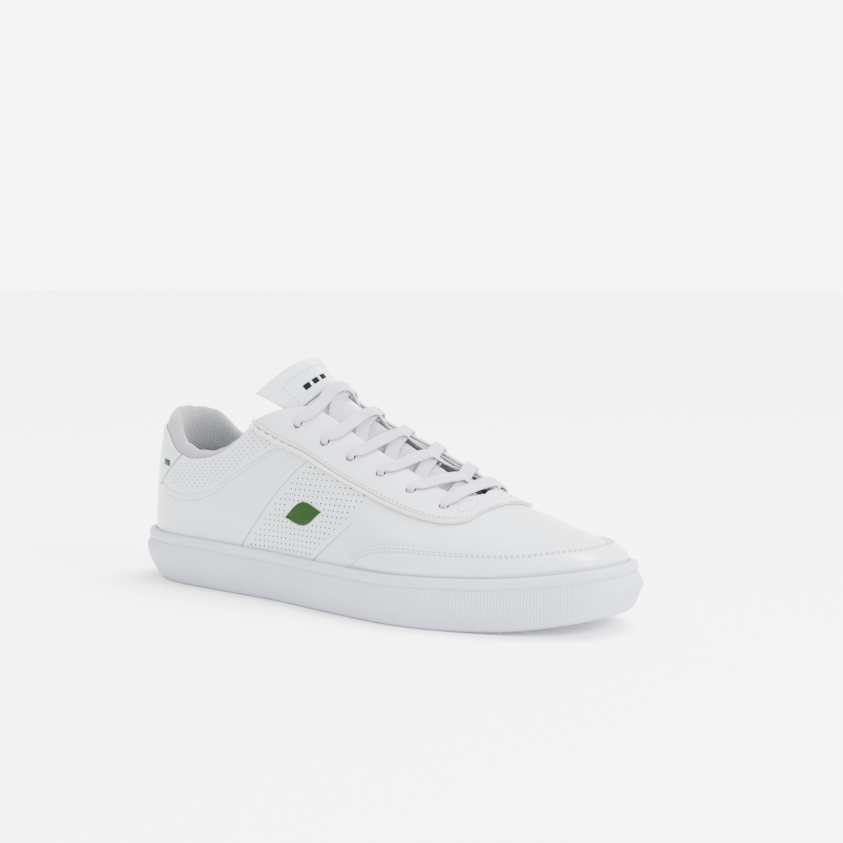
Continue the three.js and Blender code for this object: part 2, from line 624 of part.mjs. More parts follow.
// ---- tongue -------------------------------------------------------------------------------
// The tongue's face: s runs from the throat (0) to the free top edge (1), w across from -1 to 1.
const tongueCrest = [[63.5, 1.5, 55.4], [57, 1.5, 59.5], [42, 1.3, 68], [25, 1, 77.5],
  [10, 1, 85.5], [-8, 1, 96], [-20, 1, 104], [-31, 1, 113.5], [-41, 0, 122.8]];
const tonguePath = new THREE.CatmullRomCurve3(tongueCrest.map((p) => new THREE.Vector3(...p)));
// Each side's half width, fall at its edge and how pointed its arch is.
const tongueSide = {
  [LATERAL]: {
    half: curve([[0, 16], [0.78, 16], [0.88, 19.5], [1, 27]]),
    drop: curve([[0, 5.5], [0.2, 8.5], [0.355, 10.6], [0.49, 13.2], [0.65, 15.8], [0.77, 17.5],
      [0.86, 20.5], [1, 24]]),
    arch: curve([[0, 1.5], [0.2, 1.15], [0.77, 1.15], [0.88, 1.6], [1, 2.6]]),
  },
  [MEDIAL]: {
    half: curve([[0, 11], [0.2, 10], [0.8, 10], [0.9, 12.5], [1, 21]]),
    drop: curve([[0, 3.5], [0.2, 4], [0.355, 5.5], [0.49, 8.5], [0.65, 12.2], [0.77, 15],
      [0.88, 19.5], [1, 22]]),
    arch: curve([[0, 1.5], [0.2, 1.3], [0.77, 1.3], [0.88, 1.7], [1, 2.6]]),
  },
};
// A power of |w| with a rounded bottom.
const CREST = 0.16;
const rounded = (w, power) => (w * w + CREST * CREST) ** (power / 2) - CREST ** power;
const crest = (w, power) => rounded(w, power) / rounded(1, power);
function onTongue(s, w, depth) {
  const at = (ss, ww) => {
    const centre = tonguePath.getPointAt(clamp(ss, 0, 1));
    const along = tonguePath.getTangentAt(clamp(ss, 0, 1));
    const up = new THREE.Vector3(-along.z, 0, along.x).multiplyScalar(-1).normalize();
    const shape = tongueSide[ww < 0 ? LATERAL : MEDIAL];
    const point = centre.addScaledVector(up, -shape.drop(ss) * crest(ww, shape.arch(ss)));
    point.y += shape.half(ss) * ww;
    return point;
  };
  const e = 0.02;
  const along = at(Math.min(s + e, 1), w).sub(at(Math.max(s - e, 0), w));
  const across = at(s, w + e).sub(at(s, w - e));
  const tangent = tonguePath.getTangentAt(clamp(s, 0, 1));
  const crownUp = new THREE.Vector3(tangent.z, 0, -tangent.x).normalize();
  // Halfway between the face's own normal and the crown's, so that inner layers don't fold at the crest.
  const normal = across.cross(along).normalize().add(crownUp).normalize();
  return at(s, w).addScaledVector(normal, depth);
}
const tonguePatch = (from, to, width) => (u, v, depth) => (
  onTongue(mix(from, to, u), (2 * v - 1) * width, depth)
);
const LINED_WIDTH = 0.94;            // share of the tongue's width that is padded and lined
const LINED_TO = 0.985;
const LEATHER_FROM = 0.6;
const FOLD_AT = 0.845;               // the free top edge folds forward from here
const FOLD_GAP = 0.008;
const TONGUE_FOAM = [-3.9, -LEATHER - GAP];
const TONGUE_BACK = [-4.9, -4.2];
add('tongue_mesh', sheet(tonguePatch(0, LEATHER_FROM - FOLD_GAP, 1), 9, 8, ...BASE), textileWhite());
add('tongue_panel', sheet(tonguePatch(LEATHER_FROM, FOLD_AT - FOLD_GAP, 1), 4, 8, ...BASE), leatherWhite());
const paddedPart = tonguePatch(0.05, FOLD_AT - FOLD_GAP, LINED_WIDTH);
const linedPart = tonguePatch(0.02, FOLD_AT - FOLD_GAP, LINED_WIDTH);
add('tongue_foam', sheet(paddedPart, 10, 8, ...TONGUE_FOAM), foamWhite());
add('tongue_lining', sheet(linedPart, 10, 8, ...TONGUE_BACK), textileWhite());
add('tongue_top', sheet(tonguePatch(FOLD_AT, 1, 1), 3, 10, ...BASE), leatherWhite());
const topPart = tonguePatch(FOLD_AT, LINED_TO, LINED_WIDTH);
add('tongue_top_foam', sheet(topPart, 3, 8, ...TONGUE_FOAM), foamWhite());
add('tongue_top_lining', sheet(topPart, 3, 8, ...TONGUE_BACK), textileWhite());

// ---- marks --------------------------------------------------------------------------------
// A plain leaf on the outer side, a bar on the heel and a bar on the tongue.
const LEAF = { x: -17.5, t: 0.232, length: 26, height: 10, tilt: 0.35, perClimb: 95 };
const leaf = (u, v, depth) => {
  const reach = (u - 0.5) * LEAF.length;
  const width = (v - 0.5) * LEAF.height * Math.sin(Math.PI * mix(0.06, 0.94, u));
  const dx = reach * Math.cos(LEAF.tilt) - width * Math.sin(LEAF.tilt);
  const dz = reach * Math.sin(LEAF.tilt) + width * Math.cos(LEAF.tilt);
  return onUpper(LEAF.x + dx, LEAF.t + dz / LEAF.perClimb, LATERAL, depth);
};
add('side_leaf', sheet(leaf, 10, 2, GAP, GAP + 0.8), markGreen());
const HEEL_BAR = { from: -127, to: -120, low: 0.215, high: 0.235 };
const heelBar = (u, v, depth) => (
  onUpper(mix(HEEL_BAR.from, HEEL_BAR.to, u), mix(HEEL_BAR.low, HEEL_BAR.high, v), LATERAL, depth)
);
add('heel_bar', sheet(heelBar, 3, 1, GAP, GAP + 0.5), markGreen());
const LABEL = { low: 0.885, high: 0.91, from: -0.62, to: -0.13 };
const label = (u, v, depth) => (
  onTongue(mix(LABEL.low, LABEL.high, v), mix(LABEL.from, LABEL.to, u), depth)
);
add('tongue_bar', sheet(label, 8, 1, GAP, GAP + 0.4), printBlack());

// ---- lace ---------------------------------------------------------------------------------
// The lace comes up through each eyelet, crosses the tongue and dives under the other side's
// facing to the next eyelet toward the toe. The last pair is joined by a straight bar.
const UNDER = -LEATHER - GAP - LACE.thickness / 2 - 0.15;
const ABOVE = GAP + OVERLAY + GAP + LACE.thickness / 2 + 0.15;
const FACE_ALONG = new THREE.Vector3(1, 0, 0);
// A point over the tongue at a station, a distance across from its crest.
const overTongue = (x, across, lift) => {
  let s = 0;
  while (s < 1 && tonguePath.getPointAt(s).x > x) s += 0.002;
  const w = across / tongueSide[across < 0 ? LATERAL : MEDIAL].half(s);
  const point = onTongue(s, w, lift);
  return { point, normal: point.clone().sub(onTongue(s, w, 0)), width: LACE.width };
};
const lacePoint = (side, x, t, depth, width, upright) => ({
  point: onUpper(x, t, side, depth),
  normal: upperNormal(x, t, side),
  width,
  upright,
});

function throughEyelet(side, k) {
  const [x, t] = eyelets[side][k];
  return [
    lacePoint(side, x, t + 0.03, UNDER, LACE.threaded + 1, false),
    lacePoint(side, x, t, UNDER + 0.7, LACE.threaded, true),
    lacePoint(side, x, t, ABOVE - 0.7, LACE.threaded, true),
    lacePoint(side, x, t + 0.03, ABOVE, LACE.threaded + 1, false),
  ];
}

// How far from the crest each side's strands leave the tongue.
const CREST_HALF = { [LATERAL]: 4.5, [MEDIAL]: 1.8 };
function crossing(side, k, lift) {
  const [x, t] = eyelets[side][k];
  const [nextX, nextT] = eyelets[-side][k + 1];
  const at = (s) => mix(x, nextX, s);
  return [
    lacePoint(side, at(0.14), t + 0.075, ABOVE, LACE.width, false),
    lacePoint(side, at(0.26), 0.8, ABOVE + 0.5, LACE.width, false),
    overTongue(at(0.42), side * CREST_HALF[side], lift),
    overTongue(at(0.52), 0, lift),
    overTongue(at(0.62), -side * CREST_HALF[-side], lift * 0.8),
    lacePoint(-side, at(0.78), 0.785, UNDER - 0.55, LACE.width, false),
    lacePoint(-side, at(0.9), nextT + 0.07, UNDER, LACE.width - 1, false),
  ];
}

const LIFT = { [LATERAL]: 4.2, [MEDIAL]: 2.2 };
function strand(side) {
  const path = [];
  let from = side;
  for (let k = 0; k < 5; k += 1) {
    path.push(...throughEyelet(from, k), ...crossing(from, k, LIFT[from]));
    from = -from;
  }
  path.push(...throughEyelet(from, 5));
  return path;
}

const TAIL = [[0, -0.07, -2.4], [-1, -0.15, -2.7], [-2, -0.22, -3.2]];
const tail = (side) => TAIL.map(([dx, dt, depth]) => {
  const [x, t] = eyelets[side][0];
  return lacePoint(side, x + dx, t + dt, depth, LACE.threaded, false);
});
const BAR = { x: 61, climbs: [0.73, 0.85], depth: ABOVE + 0.4 };
const bar = [LATERAL, MEDIAL].map((side) => (
  BAR.climbs.map((t) => lacePoint(side, BAR.x, t, BAR.depth, LACE.width, false))
));

// One path from the lateral tail, down to the toe, over the bar and back up to the medial tail.
const firstHalf = strand(LATERAL);
const secondHalf = strand(MEDIAL).reverse();
const lacePath = [
  ...tail(LATERAL).reverse(), ...firstHalf, ...bar[1],
  ...bar[0].reverse(), ...secondHalf, ...tail(MEDIAL),
];

function ribbon(path, perStep) {
  const curve3 = new THREE.CatmullRomCurve3(path.map((p) => p.point), false, 'centripetal');
  const steps = (path.length - 1) * perStep;
  const rows = [];
  let previous = null;
  for (let i = 0; i <= steps; i += 1) {
    const u = i / steps;
    const k = Math.min(Math.floor(i / perStep), path.length - 2);
    const f = i / perStep - k;
    const tangent = curve3.getTangent(u);
    const side = (p) => (p.upright ? FACE_ALONG.clone() : tangent.clone().cross(p.normal).normalize());
    const a = side(path[k]);
    const b = side(path[k + 1]);
    if (a.dot(b) < 0) b.negate();
    const across = a.lerp(b, f);
    across.addScaledVector(tangent, -across.dot(tangent)).normalize();
    if (previous && across.dot(previous) < 0) across.negate();
    previous = across.clone();
    const face = tangent.clone().cross(across).normalize();
    const half = mix(path[k].width, path[k + 1].width, f) / 2;
    const centre = curve3.getPoint(u);
    const corner = (side2, face2) => centre.clone().addScaledVector(across, side2 * half)
      .addScaledVector(face, face2 * LACE.thickness / 2);
    rows.push([corner(-1, -1), corner(1, -1), corner(1, 1), corner(-1, 1)]);
  }
  return loft(rows);
}
const AGLET = { width: 2.8, depth: -3.4, back: 2.5, climbs: [-0.235, -0.29, -0.345, -0.4] };
const LACE_STEPS = 1;
add('lace', ribbon(lacePath, LACE_STEPS), textileWhite());
[[LATERAL, 'lateral'], [MEDIAL, 'medial']].forEach(([side, word]) => {
  const [x, t] = eyelets[side][0];
  const place = (dt) => lacePoint(side, x - AGLET.back, t + dt, AGLET.depth, AGLET.width, false);
  const path = AGLET.climbs.map(place);
  add(`aglet_${word}`, ribbon(path, 1), clearPlastic());
});

export default shoe;
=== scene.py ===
"""Court shoe, right foot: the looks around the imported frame. Lengths are millimetres until a mesh is made."""
import math
import bmesh
import bpy
import numpy as np
from mathutils import Matrix, Vector
from mathutils.geometry import delaunay_2d_cdt


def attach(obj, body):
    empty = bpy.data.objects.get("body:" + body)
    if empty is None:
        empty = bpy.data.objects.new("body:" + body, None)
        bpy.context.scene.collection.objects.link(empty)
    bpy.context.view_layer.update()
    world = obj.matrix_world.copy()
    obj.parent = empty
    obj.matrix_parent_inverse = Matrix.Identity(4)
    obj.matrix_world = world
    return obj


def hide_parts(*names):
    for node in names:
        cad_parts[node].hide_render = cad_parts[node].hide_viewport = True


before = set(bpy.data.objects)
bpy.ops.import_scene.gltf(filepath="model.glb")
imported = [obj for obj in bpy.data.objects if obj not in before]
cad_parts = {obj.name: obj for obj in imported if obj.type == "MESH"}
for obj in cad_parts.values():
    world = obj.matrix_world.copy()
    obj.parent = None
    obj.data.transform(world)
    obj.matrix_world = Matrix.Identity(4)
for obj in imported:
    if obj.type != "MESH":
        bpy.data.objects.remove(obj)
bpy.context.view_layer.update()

# ---- driving dimensions ----------------------------------
MM = 0.001
HALF_LENGTH = 150.0
LIP = 3.2
TUCK = 3.0
GAP = 0.4
LEATHER = 1.2
OVERLAY = 1.3
CENTRE_Y = 2.27
EYELET_RADIUS = 2.6
LACE_WIDTH = 7.0
LACE_THREADED = 3.6
LACE_THICKNESS = 1.2
LACE_SIDES = 14
RIM_BEAD = 4.5
WALL_GAP = 0.7
RIB_PITCH = 1.55
RIB_DEPTH = 0.5
STITCH_PITCH = 2.7
STITCH_LENGTH = 2.1
STITCH_RADIUS = 0.33
SIDE_HOLE_PITCH = 3.1
SIDE_HOLE_RADIUS = 0.5
COLLAR_HOLE_PITCH = 2.7
COLLAR_HOLE_RADIUS = 0.38
EDGE_ROUND = 0.6
LATTICE_CELLS = 60
LATERAL = -1.0
MEDIAL = 1.0
CAMERA_AT = (502.66, -672.10, 165.46)
CAMERA_TURN = 35.1
CAMERA_RISE = 5.04
CAMERA_LENS = 70.19
BULGE_CLEAR = 12.0              # least height of the widest ring above the sprung floor
LEAF = {"x": -17.5, "t": 0.232, "length": 26, "height": 10, "tilt": 0.35, "per_climb": 95}
HEEL_BAR = {"start": -127, "length": 7, "low": 0.215, "high": 0.235}
OVAL = {"x": 69.5, "half_x": 3.6, "t": 0.755, "half_t": 0.085}     # stitched at the eyestay's toe end
TONGUE_BARS = {"starts": (-0.62, -0.44, -0.26), "width": 0.13, "low": 0.885, "high": 0.91}
SUN_STRENGTH = 8.6
SUN_SPREAD = 26
WALL_GLOW = (0.17, 0.34, 7.6, 4.3)      # studio brightness falls between two heights of view
HEEL_SHADE = (0.2, 0.9, 1.0, 0.35)      # and toward the heel's outer side


# ---- curves, as in the CAD source ------------------------
def curve(points):
    x = np.array([p[0] for p in points], float)
    y = np.array([p[1] for p in points], float)
    rise = np.diff(y) / np.diff(x)
    h = np.diff(x)
    slope = np.empty_like(y)
    slope[0] = rise[0]
    slope[-1] = rise[-1]
    slope[1:-1] = (rise[1:] * h[:-1] + rise[:-1] * h[1:]) / (h[:-1] + h[1:])

    def value(v):
        v = np.clip(np.asarray(v, float), x[0], x[-1])
        i = np.clip(np.searchsorted(x, v, side="right") - 1, 0, len(x) - 2)
        s = (v - x[i]) / h[i]
        a = (2 * s**3 - 3 * s**2 + 1) * y[i] + (s**3 - 2 * s**2 + s) * h[i] * slope[i]
        b = (-2 * s**3 + 3 * s**2) * y[i + 1] + (s**3 - s**2) * h[i] * slope[i + 1]
        return a + b
    return value


def mix(a, b, s):
    return a + (b - a) * s


def hermite(f, a, slope_a, b, slope_b):
    return ((2 * f**3 - 3 * f**2 + 1) * a + (f**3 - 2 * f**2 + f) * slope_a
            + (-2 * f**3 + 3 * f**2) * b + (f**3 - f**2) * slope_b)


def along_line(at, lengths, points):
    """The point at each distance along a line of points."""
    return np.stack([np.interp(at, lengths, points[:, a]) for a in range(3)], -1)


def run_lengths(points):
    """The distance along a line of points, at each point."""
    return np.concatenate([[0], np.cumsum(np.linalg.norm(np.diff(points, axis=0), axis=-1))])


def angle_of(x):
    return np.arcsin(np.clip(np.asarray(x, float) / HALF_LENGTH, -1, 1)) * 2 / np.pi


def station_of(angle):
    return HALF_LENGTH * np.sin(np.asarray(angle, float) * np.pi / 2)


def width_curve(points):
    return curve([(float(angle_of(x)), w) for x, w in points])


def smooth_step(low, high, v):
    s = np.clip((v - low) / (high - low), 0, 1)
    return s * s * (3 - 2 * s)


def unit(v):
    return v / np.maximum(np.linalg.norm(v, axis=-1, keepdims=True), 1e-12)


lateral_width = width_curve([(-150, 0), (-145, 18), (-120, 35.5), (-80, 40), (-35, 42.5), (10, 50.5),
                             (50, 56), (90, 50.5), (125, 38), (145, 21.5), (150, 0)])
medial_width = width_curve([(-150, 0), (-145, 18), (-120, 36), (-80, 37), (-35, 31.5), (10, 33.5),
                            (50, 44), (90, 50.5), (125, 35), (144, 18.5), (150, 0)])
outline_centre = curve([(-150, 0), (40, 0), (100, 1), (150, 1)])
rim_inset = curve([(-150, 2.5), (-100, 1.5), (0, 1), (90, 1.5), (150, 4)])
bottom_inset = curve([(-150, 7), (-100, 5.5), (0, 2), (90, 2.5), (150, 4)])
bulge_height = curve([(-150, 18), (0, 12), (150, 16)])
rim_height = curve([(-150, 27.5), (-90, 27), (-20, 25), (60, 25), (110, 27.5), (150, 33)])
spring_curve = curve([(-150, 1.5), (-125, 0.2), (-115, 0), (-100, 0), (50, 0), (65, 0), (80, 0.3),
                      (110, 2.5), (150, 10)])
ridge_height = curve([(-150, 150), (-90, 132), (-60, 118), (-30, 103.6), (0, 86), (23, 75),
                      (41, 66.5), (60, 59), (80, 52.5), (100, 46.5), (125, 42), (150, 39)])
ridge_centre = curve([(-150, 0), (-40, 1), (60, 3), (150, 4)])
boxiness = curve([(-150, 2), (60, 2.1), (100, 2.4), (150, 2.9)])
facing_lift = curve([(-150, 0), (-80, 3), (-45, 6.5), (0, 7.5), (35, 7.5), (55, 5), (68, 1), (80, 0)])
RIDGE_ENDS = (-105.0, 92.0)
RIDGE_SOFTNESS = 11.0


def toe_spring(x):
    return np.maximum(0, spring_curve(x))


def outline(angle, side):
    x = station_of(angle)
    width = np.where(side < 0, lateral_width(angle), medial_width(angle))
    return x, outline_centre(x) + side * width


def inset_outline(angle, side, inset):
    e = 1e-3
    ax, ay = outline(np.clip(angle - e, -1, 1), side)
    bx, by = outline(np.clip(angle + e, -1, 1), side)
    nx = (by - ay) * side
    ny = -(bx - ax) * side
    length = np.maximum(np.hypot(nx, ny), 1e-9)
    tip = np.abs(angle) > 1 - 1e-6
    nx = np.where(tip, -np.sign(angle), nx / length)
    ny = np.where(tip, 0.0, ny / length)
    px, py = outline(angle, side)
    return px + nx * inset, py + ny * inset


def soft_station(x):
    def ramp(v):
        return 0.5 * (v + np.sqrt(v * v + RIDGE_SOFTNESS**2))
    return RIDGE_ENDS[0] + ramp(x - RIDGE_ENDS[0]) - ramp(x - RIDGE_ENDS[1])


def upper(x, t, side):
    x, t, side = np.broadcast_arrays(np.asarray(x, float), np.asarray(t, float), np.asarray(side, float))
    fx, fy = inset_outline(angle_of(x), side, LIP + rim_inset(x))
    cx = soft_station(x)
    cy = ridge_centre(cx)
    power = 2 / boxiness(x)
    out = np.maximum(np.cos(t * np.pi / 2), 0) ** power
    up = np.maximum(np.sin(t * np.pi / 2), 0) ** power
    px = cx + (fx - cx) * out
    py = cy + (fy - cy) * out
    base = rim_height(fx) - TUCK
    pz = base + (ridge_height(px) - base) * up
    pz = pz + np.where(side > 0, facing_lift(x) * smooth_step(0.35, 0.8, t), 0)
    return np.stack([px, py, pz], -1)


def upper_normal(x, t, side):
    e = 0.004
    x, t, side = np.broadcast_arrays(np.asarray(x, float), np.asarray(t, float), np.asarray(side, float))
    tt = np.clip(t, 0.02, 0.985)
    angle = angle_of(x)

    def at(a):
        over = np.abs(a) > 1
        folded = np.where(a > 1, 2 - a, np.where(a < -1, -2 - a, a))
        return upper(station_of(folded), tt, np.where(over, -side, side))
    along = at(angle + e) - at(angle - e)
    climb = upper(x, np.minimum(tt + e, 1), side) - upper(x, tt - e, side)
    return unit(np.cross(along, climb) * -side[..., None])


def on_upper(x, t, side, depth):
    return upper(x, t, side) + upper_normal(x, t, side) * np.asarray(depth, float)[..., None]


def polyline(points):
    a = np.array([float(angle_of(p[0])) for p in points])
    t = np.array([p[1] for p in points], float)
    s = np.concatenate([[0], np.cumsum(np.hypot(np.diff(a) * 1.6, np.diff(t)))])
    s = s / s[-1]
    fa = curve(list(zip(s, a)))
    ft = curve(list(zip(s, t)))
    return lambda v: (fa(v), ft(v))


def shift(line, dx, dt):
    return [(x + dx, t + dt) for x, t in line]


# ---- seam lines on the upper, as (station, climb) --------
SIDE_REAR = [(-62, 0), (-46.5, 0.173), (-30.8, 0.36), (-21.9, 0.474), (-17, 0.55)]
SIDE_FRONT = [(-12.5, 0), (12.2, 0.264), (26, 0.502), (30, 0.56)]
COLLAR_LOW = [(-127.7, 0.16), (-115.6, 0.147), (-103.5, 0.147), (-91.7, 0.165), (-80.8, 0.201),
              (-70.6, 0.259), (-58.2, 0.337), (-46.7, 0.42), (-34, 0.515)]
TOPLINE = [(-108.3, 0.266), (-105.6, 0.263), (-93.6, 0.276), (-83, 0.308), (-73.2, 0.364),
           (-67.5, 0.416), (-61.6, 0.491), (-54, 0.55)]
STAY_LOW = [(-61.8, 0.496), (-57.5, 0.492), (-38.6, 0.486), (-24.9, 0.496), (-7.1, 0.499),
            (10.5, 0.499), (27.6, 0.497), (43.9, 0.504), (56, 0.515), (66.8, 0.544), (75.7, 0.634),
            (77.5, 0.76), (78.4, 1)]
STAY_HIGH = [(-31.5, 0.751), (-23.5, 0.769), (-11.1, 0.785), (12.7, 0.79), (38.7, 0.795), (54, 0.8),
             (63, 0.86), (66.5, 1)]
MUDGUARD_HIGH = [(17, 0.085), (22.3, 0.112), (29.7, 0.173), (37.7, 0.212), (49.9, 0.244), (72, 0.27),
                 (92.8, 0.301), (113.6, 0.351), (135.3, 0.447), (150, 0.517)]
VAMP_REAR = [(-10.5, 0), (14.2, 0.264), (28, 0.502), (46, 0.54), (66, 0.585), (71, 0.75), (73, 1)]
rim_clear = curve([(17, 0.07), (100, 0.08), (125, 0.115), (150, 0.15)])
heel_topline = curve([(-150, 0.33), (-138, 0.325), (-129.7, 0.313), (-119.9, 0.281), (-112.4, 0.267),
                      (-108.3, 0.266)])
EYELETS = {
    LATERAL: [(-33.7, 0.606), (-15.5, 0.612), (1.7, 0.629), (20.9, 0.643), (40, 0.652), (60.5, 0.655)],
    MEDIAL: [(-28, 0.62), (-10, 0.625), (8, 0.635), (26, 0.645), (43.5, 0.655), (61.5, 0.66)],
}
SIDE_NAMES = ((LATERAL, "lateral"), (MEDIAL, "medial"))


# ---- materials -------------------------------------------
def new_material(name, colour, roughness, specular=0.5):
    m = bpy.data.materials.new(name)
    m.use_nodes = True
    shader = m.node_tree.nodes["Principled BSDF"]
    shader.inputs["Base Color"].default_value = (*colour, 1)
    shader.inputs["Roughness"].default_value = roughness
    shader.inputs["Specular IOR Level"].default_value = specular
    return m, shader


def link(m, a, b):
    m.node_tree.links.new(a, b)


def node(m, kind, **inputs):
    n = m.node_tree.nodes.new(kind)
    for key, value in inputs.items():
        n.inputs[key.replace("_", " ")].default_value = value
    return n


def noise(m, scale, detail):
    where = node(m, "ShaderNodeTexCoord")
    n = node(m, "ShaderNodeTexNoise", Scale=scale, Detail=detail)
    link(m, where.outputs["Object"], n.inputs["Vector"])
    return n.outputs["Fac"]


def maths(m, operation, *sources):
    """A math node's result; each source is a number or another node's socket."""
    n = node(m, "ShaderNodeMath")
    n.operation = operation
    for socket, source in zip(n.inputs, sources):
        if isinstance(source, (int, float)):
            socket.default_value = source
        else:
            link(m, source, socket)
    return n.outputs[0]


def map_range(m, source, limits):
    low, high, to_low, to_high = limits
    n = node(m, "ShaderNodeMapRange", From_Min=low, From_Max=high, To_Min=to_low, To_Max=to_high)
    link(m, source, n.inputs["Value"])
    return n.outputs["Result"]


def add_bump(m, shader, height, strength, distance):
    b = node(m, "ShaderNodeBump", Strength=strength, Distance=distance)
    link(m, height, b.inputs["Height"])
    before = shader.inputs["Normal"]
    if before.is_linked:
        link(m, before.links[0].from_socket, b.inputs["Normal"])
    link(m, b.outputs["Normal"], shader.inputs["Normal"])


def vary(m, shader, source, socket, low, high):
    """Spreads a 0..1 pattern over a range of greys or roughness."""
    r = node(m, "ShaderNodeValToRGB")
    r.color_ramp.elements[0].position = 0.3
    r.color_ramp.elements[1].position = 0.7
    r.color_ramp.elements[0].color = (*low, 1) if isinstance(low, tuple) else (low, low, low, 1)
    r.color_ramp.elements[1].color = (*high, 1) if isinstance(high, tuple) else (high, high, high, 1)
    link(m, source, r.inputs["Fac"])
    link(m, r.outputs["Color"], shader.inputs[socket])


def leather(name, light, dark, grain=0.12):
    m, s = new_material(name, light, 0.42)
    s.inputs["Coat Weight"].default_value = 0.35
    s.inputs["Coat Roughness"].default_value = 0.22
    vary(m, s, noise(m, 34, 5), "Base Color", dark, light)
    vary(m, s, noise(m, 160, 4), "Roughness", 0.36, 0.5)
    where = node(m, "ShaderNodeTexCoord")
    cells = node(m, "ShaderNodeTexVoronoi", Scale=1150.0)
    link(m, where.outputs["Object"], cells.inputs["Vector"])
    add_bump(m, s, cells.outputs["Distance"], grain, 0.00025)
    add_bump(m, s, noise(m, 90, 6), 0.16, 0.0012)
    return m


def weave(name, light, dark, pitch_u, pitch_v, strength, turn=0.0):
    """Crossed threads from the UV map, which is in millimetres."""
    m, s = new_material(name, light, 0.9, 0.25)
    s.inputs["Sheen Weight"].default_value = 0.35
    s.inputs["Sheen Roughness"].default_value = 0.5
    where = node(m, "ShaderNodeUVMap")
    where.uv_map = "uv"
    turned = node(m, "ShaderNodeMapping", Rotation=(0, 0, turn))
    link(m, where.outputs["UV"], turned.inputs["Vector"])
    split = node(m, "ShaderNodeSeparateXYZ")
    link(m, turned.outputs["Vector"], split.inputs["Vector"])
    waves = [maths(m, "SINE", maths(m, "MULTIPLY", split.outputs[axis], 2 * math.pi / pitch))
             for axis, pitch in (("X", pitch_u), ("Y", pitch_v))]
    half = maths(m, "MULTIPLY_ADD", maths(m, "MULTIPLY_ADD", *waves, 0.0), 0.5, 0.5)
    vary(m, s, half, "Base Color", dark, light)
    add_bump(m, s, half, strength, 0.0004)
    add_bump(m, s, noise(m, 900, 3), 0.2, 0.0003)
    return m


def rubber(name, light, dark):
    m, s = new_material(name, light, 0.55, 0.4)
    vary(m, s, noise(m, 26, 5), "Base Color", dark, light)
    vary(m, s, noise(m, 220, 3), "Roughness", 0.48, 0.64)
    add_bump(m, s, noise(m, 1500, 3), 0.18, 0.0002)
    return m


WHITE = (0.375, 0.391, 0.413)
WHITE_DARK = (0.358, 0.375, 0.396)
M_LEATHER = leather("leather_white", WHITE, WHITE_DARK)
M_PIPING = leather("leather_piping", (0.404, 0.411, 0.413), (0.379, 0.385, 0.389), 0.06)
M_HOLE = rubber("hole_shadow", (0.02, 0.021, 0.024), (0.012, 0.012, 0.014))
M_RUBBER = rubber("rubber_white", (0.318, 0.331, 0.383), (0.295, 0.308, 0.360))
M_KNIT = weave("knit_lining", (0.182, 0.185, 0.195), (0.141, 0.143, 0.156), 1.5, 2.4, 1.0, 0.7)
M_MESH = weave("tongue_mesh", (0.379, 0.385, 0.404), (0.195, 0.199, 0.219), 1.5, 1.5, 0.9)
M_LACE = weave("lace_white", (0.389, 0.389, 0.418), (0.321, 0.321, 0.355), 0.9, 1.3, 0.8, 0.5)
# The white thread is coloured darker than the leather: painted shade, standing in for the dark needle holes
# along each stitch row.
M_THREAD_SHADED = rubber("thread_painted_shade", (0.228, 0.236, 0.251), (0.182, 0.190, 0.205))
M_GREEN = leather("mark_green", (0.006, 0.027, 0.0015), (0.004, 0.020, 0.001), 0.05)
green = M_GREEN.node_tree.nodes["Principled BSDF"]
green.inputs["Coat Weight"].default_value = 0.0
green.inputs["Specular IOR Level"].default_value = 0.12
M_BLACK = rubber("print_black", (0.003, 0.003, 0.004), (0.002, 0.002, 0.003))
for dark in (M_BLACK, M_HOLE):
    dark.node_tree.nodes["Principled BSDF"].inputs["Specular IOR Level"].default_value = 0.06
M_INNER = rubber("inner_textile", (0.277, 0.278, 0.292), (0.242, 0.244, 0.257))
M_FOAM = rubber("inner_foam", (0.389, 0.389, 0.375), (0.360, 0.360, 0.345))
M_BOARD = rubber("inner_board", (0.302, 0.287, 0.258), (0.258, 0.243, 0.219))
M_TIP = rubber("aglet_clear", (0.399, 0.399, 0.413), (0.375, 0.375, 0.389))


# ---- mesh helpers ----------------------------------------
def make_object(name, points, faces, materials, body="shoe", slot="leather_white", stands_for="", uv=None,
                face_material=None, sharp=38):
    """points in CAD millimetres before the footprint is centred."""
    placed = (np.asarray(points, float).reshape(-1, 3) + (0, CENTRE_Y, 0)) * MM
    mesh = bpy.data.meshes.new(name)
    mesh.from_pydata(placed.tolist(), [], [list(map(int, f)) for f in faces])
    for m in materials:
        mesh.materials.append(m)
    if face_material is not None:
        mesh.polygons.foreach_set("material_index", np.asarray(face_material, np.int32))
    if uv is not None:
        layer = mesh.uv_layers.new(name="uv")
        loops = np.empty(len(mesh.loops), np.int32)
        mesh.loops.foreach_get("vertex_index", loops)
        layer.data.foreach_set("uv", np.asarray(uv, np.float32)[loops].ravel())
    mesh.polygons.foreach_set("use_smooth", np.ones(len(mesh.polygons), bool))
    mesh.validate()
    mesh.set_sharp_from_angle(angle=math.radians(sharp))
    obj = bpy.data.objects.new(name, mesh)
    bpy.context.scene.collection.objects.link(obj)
    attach(obj, body)
    if stands_for:
        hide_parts(stands_for)
    return obj


def closed_tube(rows, around):
    """Faces between rings of points, with a cap on each end."""
    a = np.arange(around)
    b = (a + 1) % around
    faces = []
    for r in range(rows - 1):
        faces += list(zip(r * around + a, r * around + b, (r + 1) * around + b, (r + 1) * around + a))
    last = (rows - 1) * around
    return faces + [tuple(range(around - 1, -1, -1)), tuple(range(last, last + around))]


def samples(length, step):
    """Fractions along a length, closer together at the ends so that an edge can be rounded."""
    middle = np.linspace(0, 1, max(int(length / step), 2) + 1)
    ends = np.array([0.12, 0.3, EDGE_ROUND * 0.9]) / max(length, 4)
    inner = middle[(middle > ends[-1] * 1.5) & (middle < 1 - ends[-1] * 1.5)]
    return np.concatenate([[0], ends, inner, 1 - ends[::-1], [1]])


